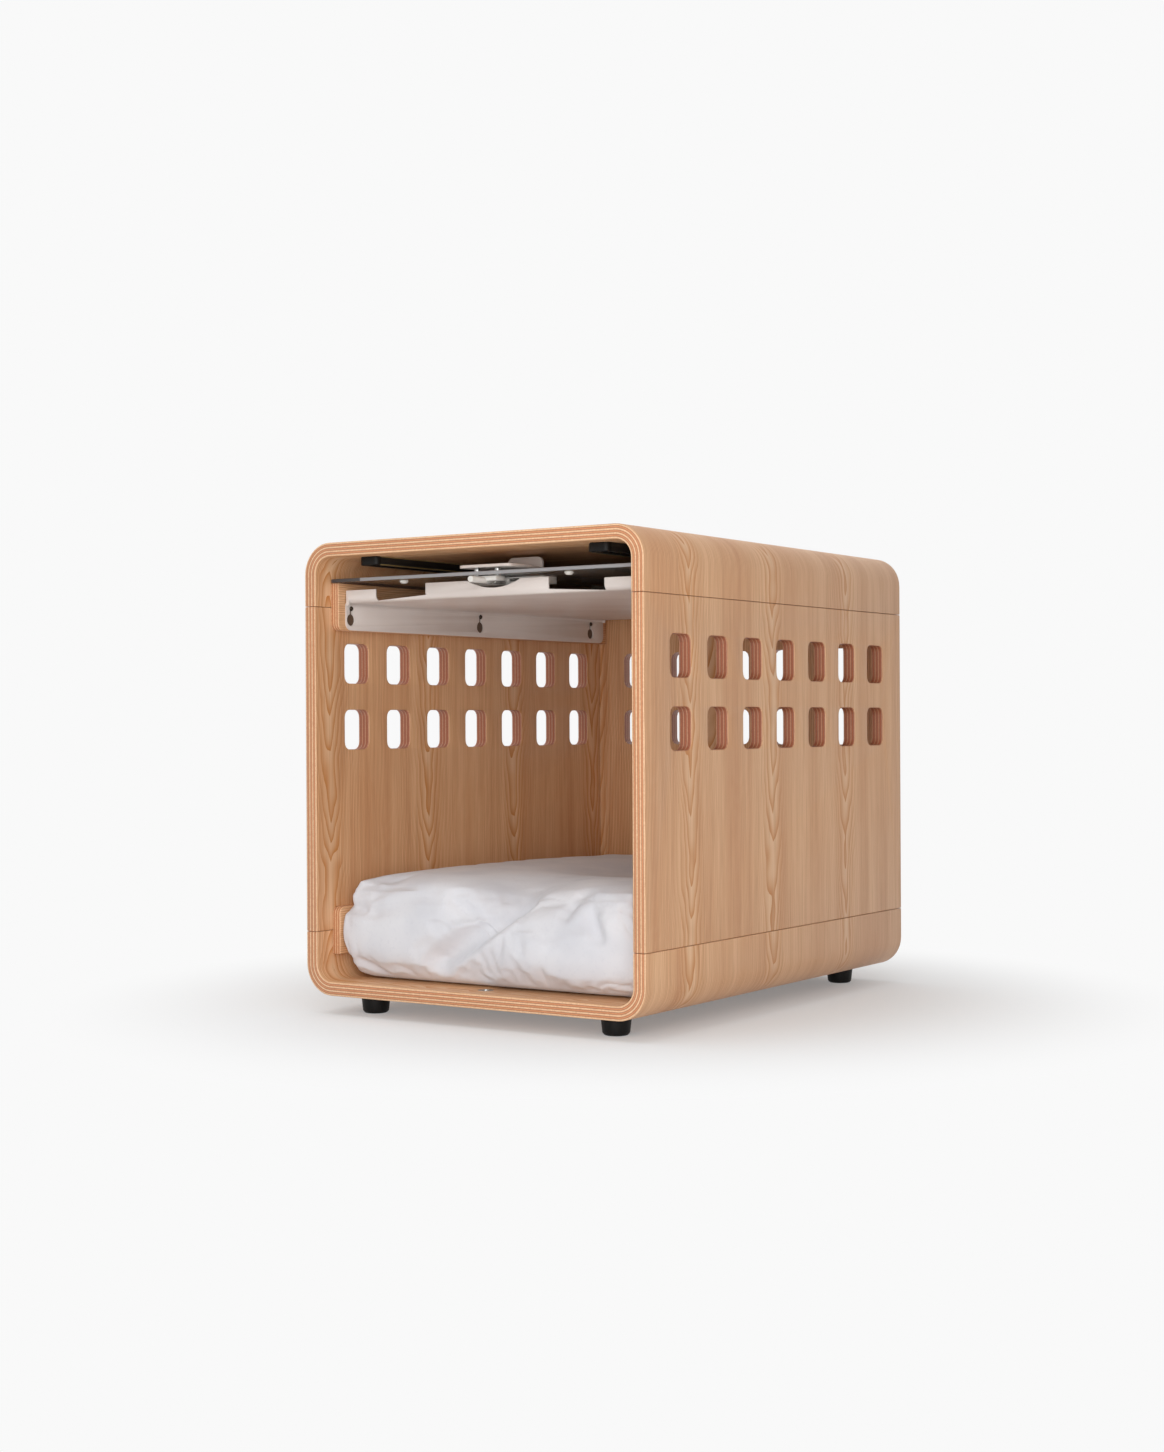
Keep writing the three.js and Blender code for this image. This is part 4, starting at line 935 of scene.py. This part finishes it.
def pale_grey_cotton():
    """Plain-woven cotton, matt, with a soft nap. The threads are 0.5 mm apart, drawn at 1.1 mm."""
    material = blank_material("pale_grey_cotton")
    tree = material.node_tree
    place = add(tree, "ShaderNodeTexCoord")
    threads = add(
        tree,
        "ShaderNodeMapping",
        {"Vector": place.outputs["Object"], "Scale": (5700.0, 5700.0, 5700.0)},
    )
    split = add(tree, "ShaderNodeSeparateXYZ", {0: threads})
    warp = add(tree, "ShaderNodeMath", {0: split.outputs[0]}, operation="SINE")
    weft = add(tree, "ShaderNodeMath", {0: split.outputs[1]}, operation="SINE")
    rise = add(tree, "ShaderNodeMath", {0: split.outputs[2]}, operation="SINE")
    weave = add(tree, "ShaderNodeMath", {0: warp, 1: weft}, operation="MULTIPLY")
    weave = add(tree, "ShaderNodeMath", {0: weave, 1: rise}, operation="ADD")
    slubs = add(
        tree, "ShaderNodeTexNoise", {"Vector": place.outputs["Object"], "Scale": 260.0, "Detail": 4.0}
    )
    cloud = add(
        tree, "ShaderNodeTexNoise", {"Vector": place.outputs["Object"], "Scale": 14.0, "Detail": 3.0}
    )
    tone = add(tree, "ShaderNodeMapRange", {"Value": cloud, "From Min": 0.35, "From Max": 0.65})
    colour = add(
        tree,
        "ShaderNodeMix",
        {0: tone, 6: linear("#DDDCDF"), 7: linear("#D2D2D7")},
        data_type="RGBA",
    )
    thick_thread = add(
        tree,
        "ShaderNodeMapRange",
        {"Value": slubs, "From Min": 0.55, "From Max": 0.8, "To Max": 0.3},
    )
    colour = add(
        tree,
        "ShaderNodeMix",
        {0: thick_thread, 6: colour.outputs[2], 7: linear("#C6C6CD")},
        data_type="RGBA",
    )
    relief = add(tree, "ShaderNodeMath", {0: slubs, 1: 1.5, 2: weave}, operation="MULTIPLY_ADD")
    bump = add(tree, "ShaderNodeBump", {"Height": relief, "Strength": 0.1, "Distance": 0.0002})
    rough = add(tree, "ShaderNodeMapRange", {"Value": slubs, "To Min": 0.85, "To Max": 1.0})
    surface = add(
        tree,
        "ShaderNodeBsdfPrincipled",
        {"Base Color": colour.outputs[2], "Roughness": rough, "Normal": bump},
    )
    surface.inputs["Sheen Weight"].default_value = 0.2
    surface.inputs["Sheen Roughness"].default_value = 0.5
    surface.inputs["Specular IOR Level"].default_value = 0.2
    add(tree, "ShaderNodeOutputMaterial", {"Surface": surface})
    return material


# Folds in the slack cloth, each a run of points on its front with a depth and a half width.
# The long first one drops from the hollow in the top to the foot of the front face. They are
# pressed in only before front_zone_y.
folds = [
    (
        (
            (0.034, -0.250, 0.132),
            (0.012, -0.268, 0.114),
            (-0.022, -0.279, 0.092),
            (-0.060, -0.283, 0.066),
        ),
        0.022,
        0.011,
    ),
    (((-0.040, -0.280, 0.091), (-0.050, -0.283, 0.077)), 0.006, 0.008),
    (((-0.207, -0.262, 0.133), (-0.170, -0.272, 0.124)), 0.006, 0.008),
    (
        (
            (-0.152, -0.272, 0.118),
            (-0.090, -0.262, 0.131),
            (-0.023, -0.266, 0.121),
            (0.013, -0.268, 0.115),
        ),
        0.008,
        0.012,
    ),
    (((0.105, -0.262, 0.136), (0.104, -0.268, 0.126)), 0.007, 0.008),
    (((0.139, -0.270, 0.129), (0.152, -0.280, 0.109)), 0.007, 0.009),
    (((-0.176, -0.280, 0.060), (-0.152, -0.272, 0.048)), 0.005, 0.008),
]
front_zone_y = -0.2


def away_from_path(point, path):
    """Distance from a point to a run of straight stretches."""
    nearest = 1.0
    for start, end in zip(path, path[1:]):
        start, end = Vector(start), Vector(end)
        run = end - start
        part = max(0.0, min(1.0, (point - start).dot(run) / run.length_squared))
        nearest = min(nearest, (point - start - part * run).length)
    return nearest


def press_folds(form, share):
    """Pushes the cloth in along the folds, along each point's own normal."""
    form.normal_update()
    moves = []
    for vert in form.verts:
        push = 0.0
        if vert.co.y < front_zone_y:
            for path, depth, half_width in folds:
                away = away_from_path(vert.co, path)
                if away < 3 * half_width:
                    push = max(push, depth * math.exp(-((away / half_width) ** 2)))
        moves.append(vert.normal * (-push * share))
    for vert, move in zip(form.verts, moves):
        vert.co += move


cushion_low, cushion_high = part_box("floor_cushion")
cushion_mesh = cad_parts["floor_cushion"].data.copy()
cushion_mesh.name = "stuffed_cushion"
cushion_form = bmesh.new()
cushion_form.from_mesh(cushion_mesh)
bmesh.ops.remove_doubles(cushion_form, verts=cushion_form.verts, dist=0.00001)
bmesh.ops.recalc_face_normals(cushion_form, faces=cushion_form.faces)
middle = (cushion_low + cushion_high) / 2
bmesh.ops.scale(
    cushion_form, vec=(0.995, 0.995, 0.985), space=Matrix.Translation(-middle), verts=cushion_form.verts
)
cushion_form.to_mesh(cushion_mesh)
cushion_form.free()
cushion_mesh.materials.clear()
cushion_mesh.materials.append(pale_grey_cotton())
cushion = bpy.data.objects.new("stuffed_cushion", cushion_mesh)
scene.collection.objects.link(cushion)


def settled(piece):
    """The piece's mesh with its modifiers applied."""
    graph = bpy.context.evaluated_depsgraph_get()
    made = bpy.data.meshes.new_from_object(piece.evaluated_get(graph))
    piece.modifiers.clear()
    piece.data = made
    return made


remesh = cushion.modifiers.new("remesh", "REMESH")
remesh.mode = "VOXEL"
remesh.voxel_size = 0.005
remesh.use_smooth_shade = True
settled(cushion)
cushion_form = bmesh.new()
cushion_form.from_mesh(cushion.data)
press_folds(cushion_form, 0.8)
cushion_form.to_mesh(cushion.data)
cushion_form.free()

resting = [vert.co.copy() for vert in cushion.data.vertices]
held = cushion.vertex_groups.new(name="held")
floor_points = [n for n, co in enumerate(resting) if co.z < cushion_low.z + 0.008]
held.add(floor_points, 1.0, "REPLACE")
long_fold = folds[0][0]
fold_points = [
    n
    for n, co in enumerate(resting)
    if co.y < front_zone_y and away_from_path(co, long_fold) < 0.018
]
held.add(fold_points, 0.6, "REPLACE")
cloth = cushion.modifiers.new("cloth", "CLOTH")
cloth.settings.quality = 5
cloth.settings.mass = 0.2
cloth.settings.tension_stiffness = 12
cloth.settings.compression_stiffness = 12
cloth.settings.shear_stiffness = 4
cloth.settings.bending_stiffness = 0.03
cloth.settings.shrink_min = -0.06
cloth.settings.use_pressure = True
cloth.settings.uniform_pressure_force = 3.5
cloth.settings.effector_weights.gravity = 0
cloth.settings.vertex_group_mass = "held"
cloth.collision_settings.use_collision = False
frames = 20
for step in range(1, frames + 1):
    scene.frame_set(step)
settled(cushion)
scene.frame_set(1)
# The cover is cut to size, so no point moves far from the form.
for vert, start in zip(cushion.data.vertices, resting):
    move = vert.co - start
    outward = move.dot(start - middle) > 0
    most = 0.006 if outward else 0.004
    if move.length > most:
        vert.co = start + move * (most / move.length)

cushion_form = bmesh.new()
cushion_form.from_mesh(cushion.data)
press_folds(cushion_form, 0.4)
# The sewn corners stand out squarer than the stuffing between them. The walls, cleats and
# floor of the crate stop the cloth.
half_x, half_y = (cushion_high - cushion_low).xy / 2
widest_z = 0.077
for vert in cushion_form.verts:
    out_x = abs(vert.co.x - middle.x) / half_x
    out_y = abs(vert.co.y - middle.y) / half_y
    most_out = max(out_x, out_y, 0.001)
    corner = (out_x**14 + out_y**14) ** (1 / 14) / most_out
    # Above the widest line the top edge is squared in the same way.
    rise = (vert.co.z - widest_z) / (cushion_high.z - widest_z)
    reach = most_out * corner
    edge = 1.0
    if rise > 0:
        edge = (reach**5 + rise**5) ** (1 / 5) / max(reach, rise)
    share = 0.12 + 0.5 * min(out_x, out_y, 1.0) ** 5
    vert.co.x = middle.x + (vert.co.x - middle.x) * corner**0.7 * edge**share
    vert.co.y = middle.y + (vert.co.y - middle.y) * corner**0.7 * edge**share
    if rise > 0:
        vert.co.z = widest_z + (vert.co.z - widest_z) * edge**share
    vert.co.x = max(cushion_low.x, min(cushion_high.x, vert.co.x))
    vert.co.y = max(cushion_low.y - 0.004, min(cushion_high.y, vert.co.y))
    vert.co.z = max(cushion_low.z, min(cushion_high.z + 0.004, vert.co.z))
cushion_form.to_mesh(cushion.data)
cushion_form.free()
cushion.data.shade_smooth()
finer = cushion.modifiers.new("finer", "SUBSURF")
finer.levels = 1
finer.render_levels = 1
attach(cushion, "crate")
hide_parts("floor_cushion")
